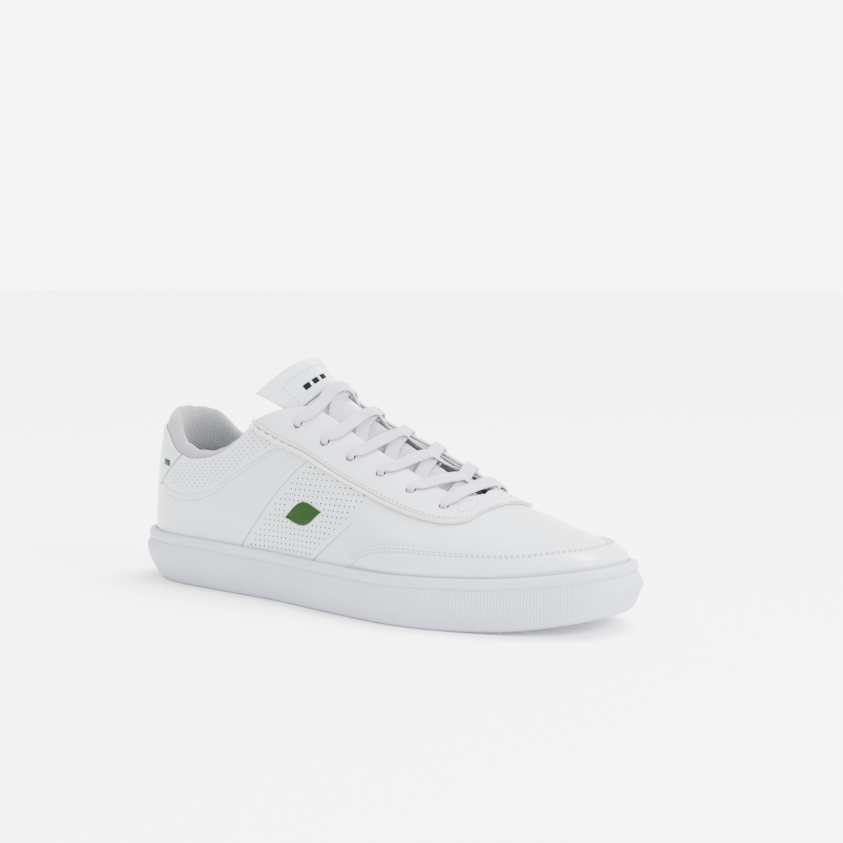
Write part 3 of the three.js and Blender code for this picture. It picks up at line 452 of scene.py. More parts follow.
def edge_fall(distance):
    """How far a rounded edge lies below the face, at a distance in from it."""
    s = np.clip(1 - distance / EDGE_ROUND, 0, 1)
    return EDGE_ROUND * (1 - np.sqrt(np.maximum(1 - s * s, 0)))


def surface_grid(place, count, depth, margin=0.0):
    g = np.linspace(margin, 1 - margin, count)
    gu, gv = np.meshgrid(g, g, indexing="ij")
    return gu, gv, place(gu, gv, np.full_like(gu, depth))


def surface_lengths(points):
    """The mean length of a grid of points along u and along v."""
    lu = float(np.linalg.norm(np.diff(points, axis=0), axis=-1).sum(0).mean())
    lv = float(np.linalg.norm(np.diff(points, axis=1), axis=-1).sum(1).mean())
    return lu, lv


def panel(name, place, materials, inner, outer, step=2.2, holes=(), hole_sides=8, hole_walls=0,
          edges=(True, True, True, True), weld=False, **more):
    """A sheet between two depths over u, v in 0..1, with round holes at (u, v, radius in mm)."""
    length_u, length_v = surface_lengths(surface_grid(place, 41, outer)[2])
    us = samples(length_u, step)
    vs = samples(length_v, step)
    uu, vv = np.meshgrid(us, vs, indexing="ij")
    u, v = uu.ravel(), vv.ravel()
    if not len(holes):
        nv = len(vs)
        i, j = np.meshgrid(np.arange(len(us) - 1), np.arange(nv - 1), indexing="ij")
        a = (i * nv + j).ravel()
        quads = np.stack([a, a + nv, a + nv + 1, a + 1], -1)
        faces = [tuple(q) for q in quads]
        ring_of = np.full(len(u), -1)
    else:
        hu, hv, hr = np.array(holes).T
        e = 1e-3
        d0 = np.full_like(hu, outer)
        pu = (place(hu + e, hv, d0) - place(hu - e, hv, d0)) / (2 * e)
        pv = (place(hu, hv + e, d0) - place(hu, hv - e, d0)) / (2 * e)
        keep = np.ones(len(u), bool)
        for k in range(len(hu)):
            delta = (u - hu[k])[:, None] * pu[k] + (v - hv[k])[:, None] * pv[k]
            keep &= np.linalg.norm(delta, axis=-1) > hr[k] + min(0.35 * step, 0.5)
        keep |= (u < 1e-9) | (u > 1 - 1e-9) | (v < 1e-9) | (v > 1 - 1e-9)
        u, v = u[keep], v[keep]
        turn = np.arange(hole_sides) * 2 * np.pi / hole_sides
        ring_of = [np.full(len(u), -1)]
        cu, cv = [u], [v]
        constraints = []
        count = len(u)
        for k in range(len(hu)):
            # A circle of the hole's radius on the surface, through its local metric.
            along = unit(pu[k])
            across = unit(pv[k] - along * (pv[k] @ along))
            target = hr[k] * (np.cos(turn)[:, None] * along + np.sin(turn)[:, None] * across)
            basis = np.stack([pu[k], pv[k]], -1)
            local = np.linalg.lstsq(basis, target.T, rcond=None)[0]
            cu.append(hu[k] + local[0])
            cv.append(hv[k] + local[1])
            ring_of.append(np.full(hole_sides, k))
            constraints += [(count + q, count + (q + 1) % hole_sides) for q in range(hole_sides)]
            count += hole_sides
        u, v = np.concatenate(cu), np.concatenate(cv)
        ring_of = np.concatenate(ring_of)
        flat = [Vector((a * length_u, b * length_v)) for a, b in zip(u, v)]
        made = delaunay_2d_cdt(flat, constraints, [], 0, 1e-6)
        source = np.array([o[0] if o else -1 for o in made[3]])
        u = np.array([p[0] for p in made[0]]) / length_u
        v = np.array([p[1] for p in made[0]]) / length_v
        ring_of = np.where(source >= 0, ring_of[np.maximum(source, 0)], -1)
        tri = np.array(made[2])
        r = ring_of[tri]
        inside = (r[:, 0] >= 0) & (r[:, 0] == r[:, 1]) & (r[:, 1] == r[:, 2])
        faces = [tuple(f) for f in tri[~inside]]
    du = np.minimum(np.where(edges[0], u, 9), np.where(edges[1], 1 - u, 9)) * length_u
    dv = np.minimum(np.where(edges[2], v, 9), np.where(edges[3], 1 - v, 9)) * length_v
    fall = edge_fall(np.minimum(du, dv))
    top = place(u, v, outer - fall)
    low = place(u, v, np.full_like(u, inner))
    n = len(u)
    open_edges = {}
    for f in faces:
        for a, b in zip(f, f[1:] + f[:1]):
            if open_edges.pop((b, a), None) is None:
                open_edges[(a, b)] = True
    out = list(faces)
    mats = [0] * len(out)
    out += [tuple(q + n for q in reversed(f)) for f in faces]
    mats += [0] * len(faces)
    for a, b in open_edges:
        out.append((b, a, a + n, b + n))
        mats.append(hole_walls if ring_of[a] >= 0 and ring_of[b] >= 0 else 0)
    uv = np.stack([u * length_u, v * length_v], -1)
    points = np.concatenate([top, low])
    # A middle face shows which way the sheet faces.
    face = list(faces[len(faces) // 2])
    f0 = [top[q] for q in face[:3]]
    mid = place(u[face].mean(keepdims=True), v[face].mean(keepdims=True), np.array([outer + 1.0]))[0]
    if np.cross(f0[1] - f0[0], f0[2] - f0[0]) @ (mid - f0[0]) < 0:
        out = [tuple(reversed(f)) for f in out]
    obj = make_object(name, points, out, materials, uv=np.concatenate([uv, uv]), face_material=mats, **more)
    if weld:
        b = bmesh.new()
        b.from_mesh(obj.data)
        bmesh.ops.remove_doubles(b, verts=b.verts, dist=weld * MM)
        b.to_mesh(obj.data)
        b.free()
    return obj


def invert(place, target, depth, tries=14):
    """The (u, v) whose point at a depth is nearest to a target point."""
    gu, gv, points = surface_grid(place, 90, depth, 0.001)
    far = np.linalg.norm(points - target, axis=-1)
    k = np.unravel_index(np.argmin(far), far.shape)
    u, v = gu[k], gv[k]
    e = 1e-3
    for _ in range(tries):
        at = np.array([u, u + e, u]), np.array([v, v, v + e])
        p = place(at[0], at[1], np.full(3, depth))
        basis = np.stack([(p[1] - p[0]) / e, (p[2] - p[0]) / e], -1)
        d = np.linalg.lstsq(basis, target - p[0], rcond=None)[0]
        u, v = float(np.clip(u + d[0], 0, 1)), float(np.clip(v + d[1], 0, 1))
    return u, v


def lattice(place, pitch, radius, margin, turn):
    """Hole centres on a square lattice over a panel, clear of its edges."""
    p = surface_grid(place, LATTICE_CELLS + 1, 0.0)[2]
    lu, lv = surface_lengths(p)
    found = {}
    # The lattice is laid in station and in climb, which is a little more than height.
    height = p[..., 2] * 1.12
    c, s = math.cos(turn), math.sin(turn)
    a = (p[..., 0] * c + height * s) / pitch
    b = (-p[..., 0] * s + height * c) / pitch
    for i in range(LATTICE_CELLS):
        for j in range(LATTICE_CELLS):
            cell_a = a[i:i + 2, j:j + 2]
            cell_b = b[i:i + 2, j:j + 2]
            start = np.array([a[i, j], b[i, j]])
            e1 = np.array([a[i + 1, j], b[i + 1, j]]) - start
            e2 = np.array([a[i, j + 1], b[i, j + 1]]) - start
            det = e1[0] * e2[1] - e1[1] * e2[0]
            if abs(det) < 1e-12:
                continue
            for m in range(math.ceil(cell_a.min()), math.floor(cell_a.max()) + 1):
                for n in range(math.ceil(cell_b.min()), math.floor(cell_b.max()) + 1):
                    d = np.array([m, n]) - start
                    fu = (d[0] * e2[1] - d[1] * e2[0]) / det
                    fv = (e1[0] * d[1] - e1[1] * d[0]) / det
                    if 0 <= fu < 1 and 0 <= fv < 1:
                        u, v = (i + fu) / LATTICE_CELLS, (j + fv) / LATTICE_CELLS
                        if min(u, 1 - u) * lu > margin and min(v, 1 - v) * lv > margin:
                            found[m, n] = (u, v, radius)
    return [found[k] for k in sorted(found)]


SHOE_STITCHES = {"points": [], "faces": []}
TONGUE_STITCHES = {"points": [], "faces": []}
STITCH_RINGS = ((-0.5, 0.25, -0.55), (-0.4, 0.8, -0.15), (-0.15, 1.0, 0.25), (0.15, 1.0, 0.25),
                (0.4, 0.8, -0.15), (0.5, 0.25, -0.55))
STITCH_SIDES = 6


def stitch_row(store, points, normals):
    """Thread capsules along a line, half sunk into the face. A ring is (along, width, lift)."""
    s = run_lengths(points)
    n = int(s[-1] / STITCH_PITCH)
    turn = np.arange(STITCH_SIDES) * 2 * np.pi / STITCH_SIDES
    start = (s[-1] - n * STITCH_PITCH) / 2
    for k in range(n):
        base = len(store["points"]) * STITCH_SIDES
        for reach, wide, lift in STITCH_RINGS:
            at = start + (k + 0.5) * STITCH_PITCH + reach * STITCH_LENGTH
            normal = unit(along_line(at, s, normals))
            ahead = along_line(at + 0.3, s, points) - along_line(at - 0.3, s, points)
            side = unit(np.cross(unit(ahead), normal))
            ring = np.cos(turn)[:, None] * side + np.sin(turn)[:, None] * normal * 0.8
            centre = along_line(at, s, points) + normal * STITCH_RADIUS * lift
            store["points"].append(centre + STITCH_RADIUS * wide * ring)
        store["faces"] += [tuple(base + q for q in f) for f in closed_tube(len(STITCH_RINGS), STITCH_SIDES)]


def stitch_on_upper(line, side, depth, start=0.0, end=1.0, dt=0.0):
    a, t = polyline(line)(np.linspace(start, end, 160))
    x = station_of(a)
    t = t + dt
    stitch_row(SHOE_STITCHES, on_upper(x, t, side, depth), upper_normal(x, t, side))


# ---- camera, floor and light -----------------------------
def add_camera():
    a, e = math.radians(CAMERA_TURN), math.radians(CAMERA_RISE)
    back = Vector((math.sin(a) * math.cos(e), -math.cos(a) * math.cos(e), math.sin(e)))
    right = Vector((math.cos(a), math.sin(a), 0))
    up = back.cross(right)
    data = bpy.data.cameras.new("camera")
    data.lens = CAMERA_LENS
    data.sensor_width = 36
    data.clip_start = 0.01
    data.clip_end = 50
    camera = bpy.data.objects.new("camera", data)
    turn = Matrix((right, up, back)).transposed().to_4x4()
    camera.matrix_world = Matrix.Translation(Vector(CAMERA_AT) * MM) @ turn
    bpy.context.scene.collection.objects.link(camera)
    bpy.context.scene.camera = camera


def place_light(data, at, aim):
    light = bpy.data.objects.new(data.name, data)
    light.location = at
    light.rotation_mode = "QUATERNION"
    light.rotation_quaternion = (Vector(aim) - Vector(at)).to_track_quat("-Z", "Y")
    bpy.context.scene.collection.objects.link(light)


def add_disc(name, at, size, power):
    data = bpy.data.lights.new(name, "AREA")
    data.shape = "DISK"
    data.size = size
    data.energy = power
    place_light(data, at, (0, 0, 0.05))


def add_stage():
    bpy.ops.mesh.primitive_plane_add(size=30, location=(0, 0, 0))
    floor = bpy.context.object
    floor.name = "floor"
    m, s = new_material("floor_paper", (0.94, 0.94, 0.94), 0.95, 0.1)
    add_bump(m, s, noise(m, 300, 3), 0.05, 0.0005)
    floor.data.materials.append(m)
    world = bpy.data.worlds.new("studio")
    bpy.context.scene.world = world
    world.use_nodes = True
    background = world.node_tree.nodes["Background"]
    background.inputs["Color"].default_value = (0.97, 0.98, 1.0, 1)
    # The studio wall is brightest low down, so that the floor meets it with a faint horizon only.
    # It is dimmer behind the heel's outer side, which shapes the heel.
    where = node(world, "ShaderNodeTexCoord")
    height = node(world, "ShaderNodeSeparateXYZ")
    link(world, where.outputs["Generated"], height.inputs["Vector"])
    toward_heel = node(world, "ShaderNodeVectorMath")
    toward_heel.operation = "DOT_PRODUCT"
    toward_heel.inputs[1].default_value = (-0.8, -0.6, 0.0)
    link(world, where.outputs["Generated"], toward_heel.inputs[0])
    glow = maths(world, "MULTIPLY", map_range(world, height.outputs["Z"], WALL_GLOW),
                 map_range(world, toward_heel.outputs["Value"], HEEL_SHADE))
    link(world, glow, background.inputs["Strength"])
    add_disc("key", (-0.9, -0.9, 1.5), 0.7, 10)
    add_disc("fill", (1.3, -0.1, 0.9), 0.5, 34)
    # A wide soft sun lights the floor evenly, near and far.
    data = bpy.data.lights.new("top", "SUN")
    data.energy = SUN_STRENGTH
    data.angle = math.radians(SUN_SPREAD)
    place_light(data, (0.3, 0.6, 1.6), (0, 0, 0))


add_camera()
add_stage()


# ---- sole ------------------------------------------------
def build_sole():
    fine = np.linspace(-1, 1, 4001)
    px, py = outline(fine, LATERAL)
    qx, qy = outline(fine[::-1], MEDIAL)
    loop = np.concatenate([np.stack([px, py], -1)[:-1], np.stack([qx, qy], -1)])
    length = run_lengths(loop)
    around = int(length[-1] / RIB_PITCH) * 6
    s = np.arange(around) / around * length[-1]
    turn = np.interp(s, length, np.concatenate([fine[:-1] + 1, 2 + (1 - fine[::-1])]))
    side = np.where(turn < 2, LATERAL, MEDIAL)
    angle = np.where(turn < 2, turn - 1, 3 - turn)
    x = station_of(angle)
    ri, bi, bulge = rim_inset(x), bottom_inset(x), bulge_height(x)

    def knot(inset, height):
        fx, fy = inset_outline(angle, side, inset)
        return inset + 0 * x, height(fx)

    def rim(drop):
        return lambda fx: rim_height(fx) - drop

    def floor(rise):
        return lambda fx: toe_spring(fx) + rise
    wall = [
        knot(bi, floor(1.6)),
        knot(bi * 0.35, lambda fx: toe_spring(fx) + bulge * 0.5),
        knot(0 * x, lambda fx: np.maximum(bulge, toe_spring(x) + BULGE_CLEAR)),
        knot(ri * 0.55 + 0.45, rim(RIM_BEAD + 1.1)),
    ]
    rows = [(*knot(bi + 2, floor(0)), 0.0)]
    count = len(wall)
    for k in range(count - 1):
        for f in np.arange(4) / 4:
            p = [wall[max(k - 1, 0)], wall[k], wall[k + 1], wall[min(k + 2, count - 1)]]
            value = []
            for c in (0, 1):
                m1 = (p[2][c] - p[0][c]) / 2
                m2 = (p[3][c] - p[1][c]) / 2
                value.append(hermite(f, p[1][c], m1, p[2][c], m2))
            place = (k + f) / (count - 1)
            rows.append((*value, float(smooth_step(0.02, 0.14, place) * (1 - smooth_step(0.9, 1.0, place)))))
    rows.append((*wall[-1], 0.0))
    for inset, drop in ((ri * 0.55 + 0.95, RIM_BEAD + 0.55), (ri * 0.6 + 0.5, RIM_BEAD + 0.1),
                        (ri * 0.6 - 0.05, RIM_BEAD - 0.7), (ri * 0.65 - 0.15, RIM_BEAD - 1.8),
                        (ri * 0.7 - 0.1, 1.6), (ri * 0.8 + 0.05, 0.8), (ri * 0.9 + 0.4, 0.25),
                        (ri + 0.8, 0.0), (LIP + ri - 0.9, 0.0), (LIP + ri - 0.45, 0.15),
                        (LIP + ri - 0.3, 0.6)):
        rows.append((*knot(inset, rim(drop)), 0.0))
    rows.append((*knot(LIP + ri - WALL_GAP, rim(4.0)), 0.0))
    rows.append((*knot(LIP + ri - WALL_GAP, floor(4.5)), 0.0))
    # Ribs are softer round the heel, and shallower at the toe tip.
    wave = 0.5 - 0.5 * np.cos(2 * np.pi * np.arange(around) / 6)
    strength = RIB_DEPTH * (0.45 + 0.55 * smooth_step(-135, -95, x)) * (1 - 0.5 * smooth_step(128, 146, x))
    points = []
    for inset, z, weight in rows:
        depth = inset + weight * wave * strength
        fx, fy = inset_outline(angle, side, depth)
        points.append(np.stack([fx, fy, z], -1))
    faces = closed_tube(len(rows), around)
    make_object("sole", np.concatenate(points), faces, [M_RUBBER], slot="rubber_white",
                stands_for="outsole_cup", sharp=60)


# ---- upper -----------------------------------------------
BASE = (-LEATHER, 0.0)
OVER = (GAP, GAP + OVERLAY)


def mirrored(half):
    def place(u, v, depth):
        side = np.where(u < 0.5, LATERAL, MEDIAL)
        return half(1 - np.abs(2 * u - 1), v, side, depth)
    return place


def ruled(low, high, side):
    a, b = polyline(low), polyline(high)

    def place(u, v, depth):
        pa, pt = a(u)
        qa, qt = b(u)
        return on_upper(station_of(mix(pa, qa, v)), mix(pt, qt, v), side, depth)
    return place


def build_upper():
    rear = polyline(VAMP_REAR)

    def vamp(u, v, depth):
        side = np.where(v < 0.5, LATERAL, MEDIAL)
        ra, rt = rear(1 - np.abs(2 * v - 1))
        return on_upper(station_of(mix(ra, 1, u)), rt, side, depth)
    panel("vamp_leather", vamp, [M_LEATHER], *BASE, edges=(True, False, True, True), weld=0.02,
          stands_for="vamp")
    for side, word in SIDE_NAMES:
        front, back = polyline(shift(SIDE_FRONT, 1.6, 0)), polyline(shift(SIDE_REAR, 0.2, 0))

        def side_panel(u, v, depth, front=front, back=back, side=side):
            ba, bt = back(v)
            fa, ft = front(v)
            return on_upper(station_of(mix(ba, fa, u)), mix(bt, ft, u), side, depth)
        holes = lattice(side_panel, SIDE_HOLE_PITCH, SIDE_HOLE_RADIUS, 4.2, 0.0)
        if side == LATERAL:
            spot = on_upper(np.array([LEAF["x"]]), np.array([LEAF["t"]]), side, np.array([0.0]))[0]
            hu, hv, _ = np.array(holes).T
            at = side_panel(hu, hv, np.zeros(len(holes)))
            away = np.hypot((at[:, 0] - spot[0]) / 13.5, (at[:, 2] - spot[2]) / 6.0)
            holes = [h for h, d in zip(holes, away) if d > 1]
        panel(f"perforated_side_{word}", side_panel, [M_LEATHER, M_HOLE], *BASE, holes=holes, hole_walls=1,
              slot="leather_perforated", stands_for=f"side_panel_{word}")
        # The quarter runs from the backstay to the side panel and up to the collar panel.
        top = polyline([(-140.5, 0.147), (-133, 0.147), *shift(COLLAR_LOW, 0, -0.006), (-19.5, 0.53)])
        low = polyline([(-140.5, 0), (-62.8, 0)])
        edge = polyline(shift(SIDE_REAR, -0.3, 0))

        def quarter(u, v, depth, top=top, low=low, edge=edge, side=side):
            la, lt = low(u)
            ta, tt = top(u)
            ea, et = edge(v)
            ca = mix(low(1.0)[0], top(1.0)[0], v)
            ct = mix(low(1.0)[1], top(1.0)[1], v)
            return on_upper(station_of(mix(la, ta, v) + (ea - ca) * u), mix(lt, tt, v) + (et - ct) * u,
                            side, depth)
        panel(f"quarter_leather_{word}", quarter, [M_LEATHER], *BASE,
              stands_for=f"quarter_{word}")
        collar = ruled(COLLAR_LOW, TOPLINE, side)
        holes = lattice(collar, COLLAR_HOLE_PITCH, COLLAR_HOLE_RADIUS, 3.2, 0.85)
        panel(f"perforated_collar_{word}", collar, [M_LEATHER, M_HOLE], *BASE, holes=holes, hole_walls=1,
              slot="leather_perforated", stands_for=f"collar_panel_{word}")
        stitch_on_upper(COLLAR_LOW, side, 0.0, 0.03, 0.97, dt=-0.02)
        stitch_on_upper(STAY_LOW, side, OVER[1], 0.0, 0.97, dt=0.019)
        oval = np.linspace(0, 2 * np.pi, 80)
        x = OVAL["x"] + OVAL["half_x"] * np.sin(oval)
        t = OVAL["t"] + OVAL["half_t"] * np.cos(oval)
        stitch_row(SHOE_STITCHES, on_upper(x, t, side, OVER[1]), upper_normal(x, t, side))
        for row in (0.02, 0.044):
            stitch_on_upper(MUDGUARD_HIGH, side, OVER[1], 0.02, 1.0, dt=-row)

    tab_front = curve([(0, -130.5), (0.4, -121.5), (1, -110.5)])

    def heel_tab(s, v, side, depth):
        angle = mix(angle_of(tab_front(v)), -1, s)
        return on_upper(station_of(angle), mix(mix(0.154, 0.15, s), heel_topline(station_of(angle)), v),
                        side, depth)
    panel("heel_tab_leather", mirrored(heel_tab), [M_LEATHER], *BASE,
          stands_for="heel_tab")

    def backstay(s, v, side, depth):
        angle = mix(angle_of(-141.0), -1, s)
        return on_upper(station_of(angle), mix(0, 0.147, v), side, depth)
    panel("backstay_leather", mirrored(backstay), [M_LEATHER], *BASE,
          stands_for="backstay")
    high = polyline(MUDGUARD_HIGH)

    def mudguard(s, v, side, depth):
        a, t = high(s)
        clear = rim_clear(station_of(a))
        climb = mix(0.03, t, v)
        skived = mix(0.12, 1.0, smooth_step(0.6, 1.15, climb / clear))
        return on_upper(station_of(a), climb, side, np.where(depth > GAP + 0.2, depth * skived, 0.03))
    panel("mudguard_leather", mirrored(mudguard), [M_LEATHER], *OVER, step=1.6,
          edges=(True, True, False, True), stands_for="mudguard")
    stay_low, stay_high = polyline(STAY_LOW), polyline(STAY_HIGH)

    def stay(s, v, side, depth):
        la, lt = stay_low(s)
        ha, ht = stay_high(s)
        return on_upper(station_of(mix(la, ha, v)), mix(lt, ht, v), side, depth)
    place = mirrored(stay)
    holes = []
    for side, _ in SIDE_NAMES:
        for x, t in EYELETS[side]:
            target = on_upper(np.array([float(x)]), np.array([t]), side, np.array([OVER[1]]))[0]
            holes.append((*invert(place, target, OVER[1]), EYELET_RADIUS))
    panel("eyestay_leather", place, [M_LEATHER, M_HOLE], *OVER, step=1.9, holes=holes, hole_sides=24,
          hole_walls=0, stands_for="eyestay")
    for side, word in SIDE_NAMES:
        def piping(u, v, depth, side=side):
            a, t = stay_low(u * 0.78)
            x = station_of(a)
            pucker = 0.004 * np.sin(x * 1.15) * (1 - smooth_step(-48, -24, x))
            roll = 0.75 * np.sin(np.pi * np.clip(v, 0, 1)) * (depth > GAP + 0.2)
            return on_upper(x, t - 0.003 - 0.024 * (1 - v) + pucker, side, depth + roll)
        panel(f"piping_{word}", piping, [M_PIPING], GAP, GAP + OVERLAY - 0.2, step=0.9,
              slot="leather_piping", stands_for=f"eyestay_piping_{word}")


# ---- padded collar ---------------------------------------
roll_height = curve([(-150, 10), (-125, 8.8), (-95, 4.8), (-70, 3.4), (-54, 2.6)])
collar_drop = curve([(-150, 0.15), (-108, 0.105), (-85, 0.1), (-70, 0.1), (-54, 0.07)])
ROLL_OUTER = -LEATHER - GAP
ROLL_INNER = -9.0
ROLL_SKIN = 0.8
ROLL_FOOT = -4.6


def build_collar():
    back_line = polyline(TOPLINE[::-1])
    w = np.linspace(0, 1, 281)
    side = np.where(w < 0.5, LATERAL, MEDIAL)
    s = 1 - np.abs(2 * w - 1)
    fa, ft = back_line(np.clip(s / 0.6, 0, 1))
    angle = np.where(s < 0.6, fa, mix(angle_of(-108.3), -1, np.clip((s - 0.6) / 0.4, 0, 1)))
    x = station_of(angle)
    t = np.where(s < 0.6, ft, heel_topline(x))
    per = np.linalg.norm(upper(x, t + 0.05, side) - upper(x, t, side), axis=-1) / 0.05
    rise, drop = roll_height(x), collar_drop(x) * per
    # The padding puckers a little where it is sewn along the leather.
    along = run_lengths(upper(x, t, side))
    pucker = 0.22 * np.sin(along * 0.55) + 0.16 * np.sin(along * 0.23 + 1.3)

    def face(inset, steps=14):
        middle = (ROLL_OUTER + ROLL_INNER) / 2
        half = (ROLL_OUTER - ROLL_INNER) / 2 - inset
        points = []
        for k in range(steps + 1):
            turn = math.pi * k / steps
            swell = pucker * math.sin(turn)
            points.append(((rise - inset) * math.sin(turn) + swell, middle + half * math.cos(turn) + 0 * x))
        for f in (0.18, 0.36, 0.5):
            points.append((-drop * f, ROLL_INNER + inset + 0.6 * f / 0.5 + 0 * x))
        for f in (0.25, 0.5, 0.75, 1.0):
            depth = mix(ROLL_INNER + inset + 0.6, ROLL_FOOT + inset, f)
            points.append((mix(-drop * 0.5, -drop, f), depth + 0 * x))
        return points
    section = face(0) + face(ROLL_SKIN)[::-1]
    rows = np.stack([on_upper(x, t + up / per, side, depth) for up, depth in section], 1)
    n = len(section)
    steps = [float(np.linalg.norm(rows[:, k + 1] - rows[:, k], axis=-1).mean()) for k in range(n - 1)]
    lengths = np.concatenate([[0], np.cumsum(steps)])
    uv = np.stack(np.broadcast_arrays(along[:, None], lengths[None, :]), -1).reshape(-1, 2)
    faces = [(a, d, c, b) for a, b, c, d in closed_tube(len(w), n)[:-2]]
    for r, flip in ((0, True), (len(w) - 1, False)):
        for i in range(n // 2 - 1):
            f = (r * n + i, r * n + i + 1, r * n + n - 2 - i, r * n + n - 1 - i)
            faces.append(f[::-1] if flip else f)
    collar = make_object("collar_knit", rows.reshape(-1, 3), faces, [M_KNIT], slot="knit_lining",
                         stands_for="collar_lining", uv=uv, sharp=70)


# ---- tongue ----------------------------------------------
TONGUE_CREST = np.array([(63.5, 1.5, 55.4), (57, 1.5, 59.5), (42, 1.3, 68), (25, 1, 77.5), (10, 1, 85.5),
                         (-8, 1, 96), (-20, 1, 104), (-31, 1, 113.5), (-41, 0, 122.8)], float)


def catmull(points, per):
    """The centripetal curve through points, with `per` steps to a span."""
    p = np.concatenate([[2 * points[0] - points[1]], points, [2 * points[-1] - points[-2]]])
    out = []
    for k in range(len(points) - 1):
        a, b, c, d = p[k], p[k + 1], p[k + 2], p[k + 3]
        d0 = max(np.linalg.norm(b - a) ** 0.5, 1e-4)
        d1 = max(np.linalg.norm(c - b) ** 0.5, 1e-4)
        d2 = max(np.linalg.norm(d - c) ** 0.5, 1e-4)
        t1 = ((b - a) / d0 - (c - a) / (d0 + d1) + (c - b) / d1) * d1
        t2 = ((c - b) / d1 - (d - b) / (d1 + d2) + (d - c) / d2) * d1
        f = (np.arange(per) / per)[:, None]
        out.append(hermite(f, b, t1, c, t2))
    out.append(points[-1:])
    return np.concatenate(out)


CREST_LINE = catmull(TONGUE_CREST, 60)
CREST_AT = run_lengths(CREST_LINE)
CREST_AT = CREST_AT / CREST_AT[-1]
HALF_W = (curve([(0, 16), (0.78, 16), (0.88, 19.5), (1, 27)]),
          curve([(0, 11), (0.2, 10), (0.8, 10), (0.9, 12.5), (1, 21)]))
DROP = (curve([(0, 5.5), (0.2, 8.5), (0.355, 10.6), (0.49, 13.2), (0.65, 15.8), (0.77, 17.5), (0.86, 20.5),
               (1, 24)]),
        curve([(0, 3.5), (0.2, 4), (0.355, 5.5), (0.49, 8.5), (0.65, 12.2), (0.77, 15), (0.88, 19.5),
               (1, 22)]))
ARCH = (curve([(0, 1.5), (0.2, 1.15), (0.77, 1.15), (0.88, 1.6), (1, 2.6)]),
        curve([(0, 1.5), (0.2, 1.3), (0.77, 1.3), (0.88, 1.7), (1, 2.6)]))
CREST_ROUND = 0.16


def crest_at(s):
    s = np.clip(s, 0, 1)
    return along_line(s, CREST_AT, CREST_LINE)


def tongue_face(s, w):
    s, w = np.broadcast_arrays(np.asarray(s, float), np.asarray(w, float))
    e = 0.004
    along = unit(crest_at(np.minimum(s + e, 1)) - crest_at(np.maximum(s - e, 0)))
    up = unit(np.stack([along[..., 2], 0 * s, -along[..., 0]], -1))
    lat = w < 0
    power = np.where(lat, ARCH[0](s), ARCH[1](s))
    drop = np.where(lat, DROP[0](s), DROP[1](s))
    half = np.where(lat, HALF_W[0](s), HALF_W[1](s))
    shape = ((w * w + CREST_ROUND**2) ** (power / 2) - CREST_ROUND**power) / (
        (1 + CREST_ROUND**2) ** (power / 2) - CREST_ROUND**power)
    p = crest_at(s) - up * (drop * shape)[..., None]
    p[..., 1] += half * w
    return p, up


def on_tongue(s, w, depth):
    s, w = np.broadcast_arrays(np.asarray(s, float), np.asarray(w, float))
    e = 0.02
    p, up = tongue_face(s, w)
    along = tongue_face(np.minimum(s + e, 1), w)[0] - tongue_face(np.maximum(s - e, 0), w)[0]
    across = tongue_face(s, w + e)[0] - tongue_face(s, w - e)[0]
    normal = unit(unit(np.cross(across, along)) + up)
    return p + normal * np.asarray(depth, float)[..., None]


LEATHER_FROM = 0.6
TONGUE_SWELL = 0.7                 # how far the padding lifts the free top's face
FOLD_AT = 0.845


def tongue_patch(start, end, width, swell=0.0):
    def place(u, v, depth):
        s, w = mix(start, end, u), (2 * v - 1) * width
        # The padding fills the middle and thins to the sewn edge.
        crown = swell * np.clip(1 - w**4, 0, 1) * (depth > -0.8)
        return on_tongue(s, w, depth + crown)
    return place


def build_tongue():
    panel("tongue_knit_mesh", tongue_patch(0, LEATHER_FROM - 0.002, 1), [M_MESH], *BASE, step=1.8,
          slot="tongue_mesh", stands_for="tongue_mesh")
    panel("tongue_leather", tongue_patch(LEATHER_FROM, FOLD_AT - 0.006, 1), [M_LEATHER], *BASE, step=1.8,
          stands_for="tongue_panel")
    top = panel("tongue_top_leather", tongue_patch(FOLD_AT, 1, 1, TONGUE_SWELL), [M_LEATHER], *BASE, step=1.6,
                body="tongue_flap", stands_for="tongue_top")
    # A row runs up one side, round the top and down the other.
    corner = np.linspace(0, 1, 60)
    s = np.concatenate([mix(0.862, 0.945, corner), np.full(120, 0.955), mix(0.945, 0.862, corner)])
    w = np.concatenate([np.full(60, -0.82), np.linspace(-0.76, 0.76, 120), np.full(60, 0.82)])
    line = on_tongue(s, w, TONGUE_SWELL * (1 - w**4))
    above = on_tongue(s, w, TONGUE_SWELL * (1 - w**4) + 1)
    stitch_row(TONGUE_STITCHES, line, unit(above - line))


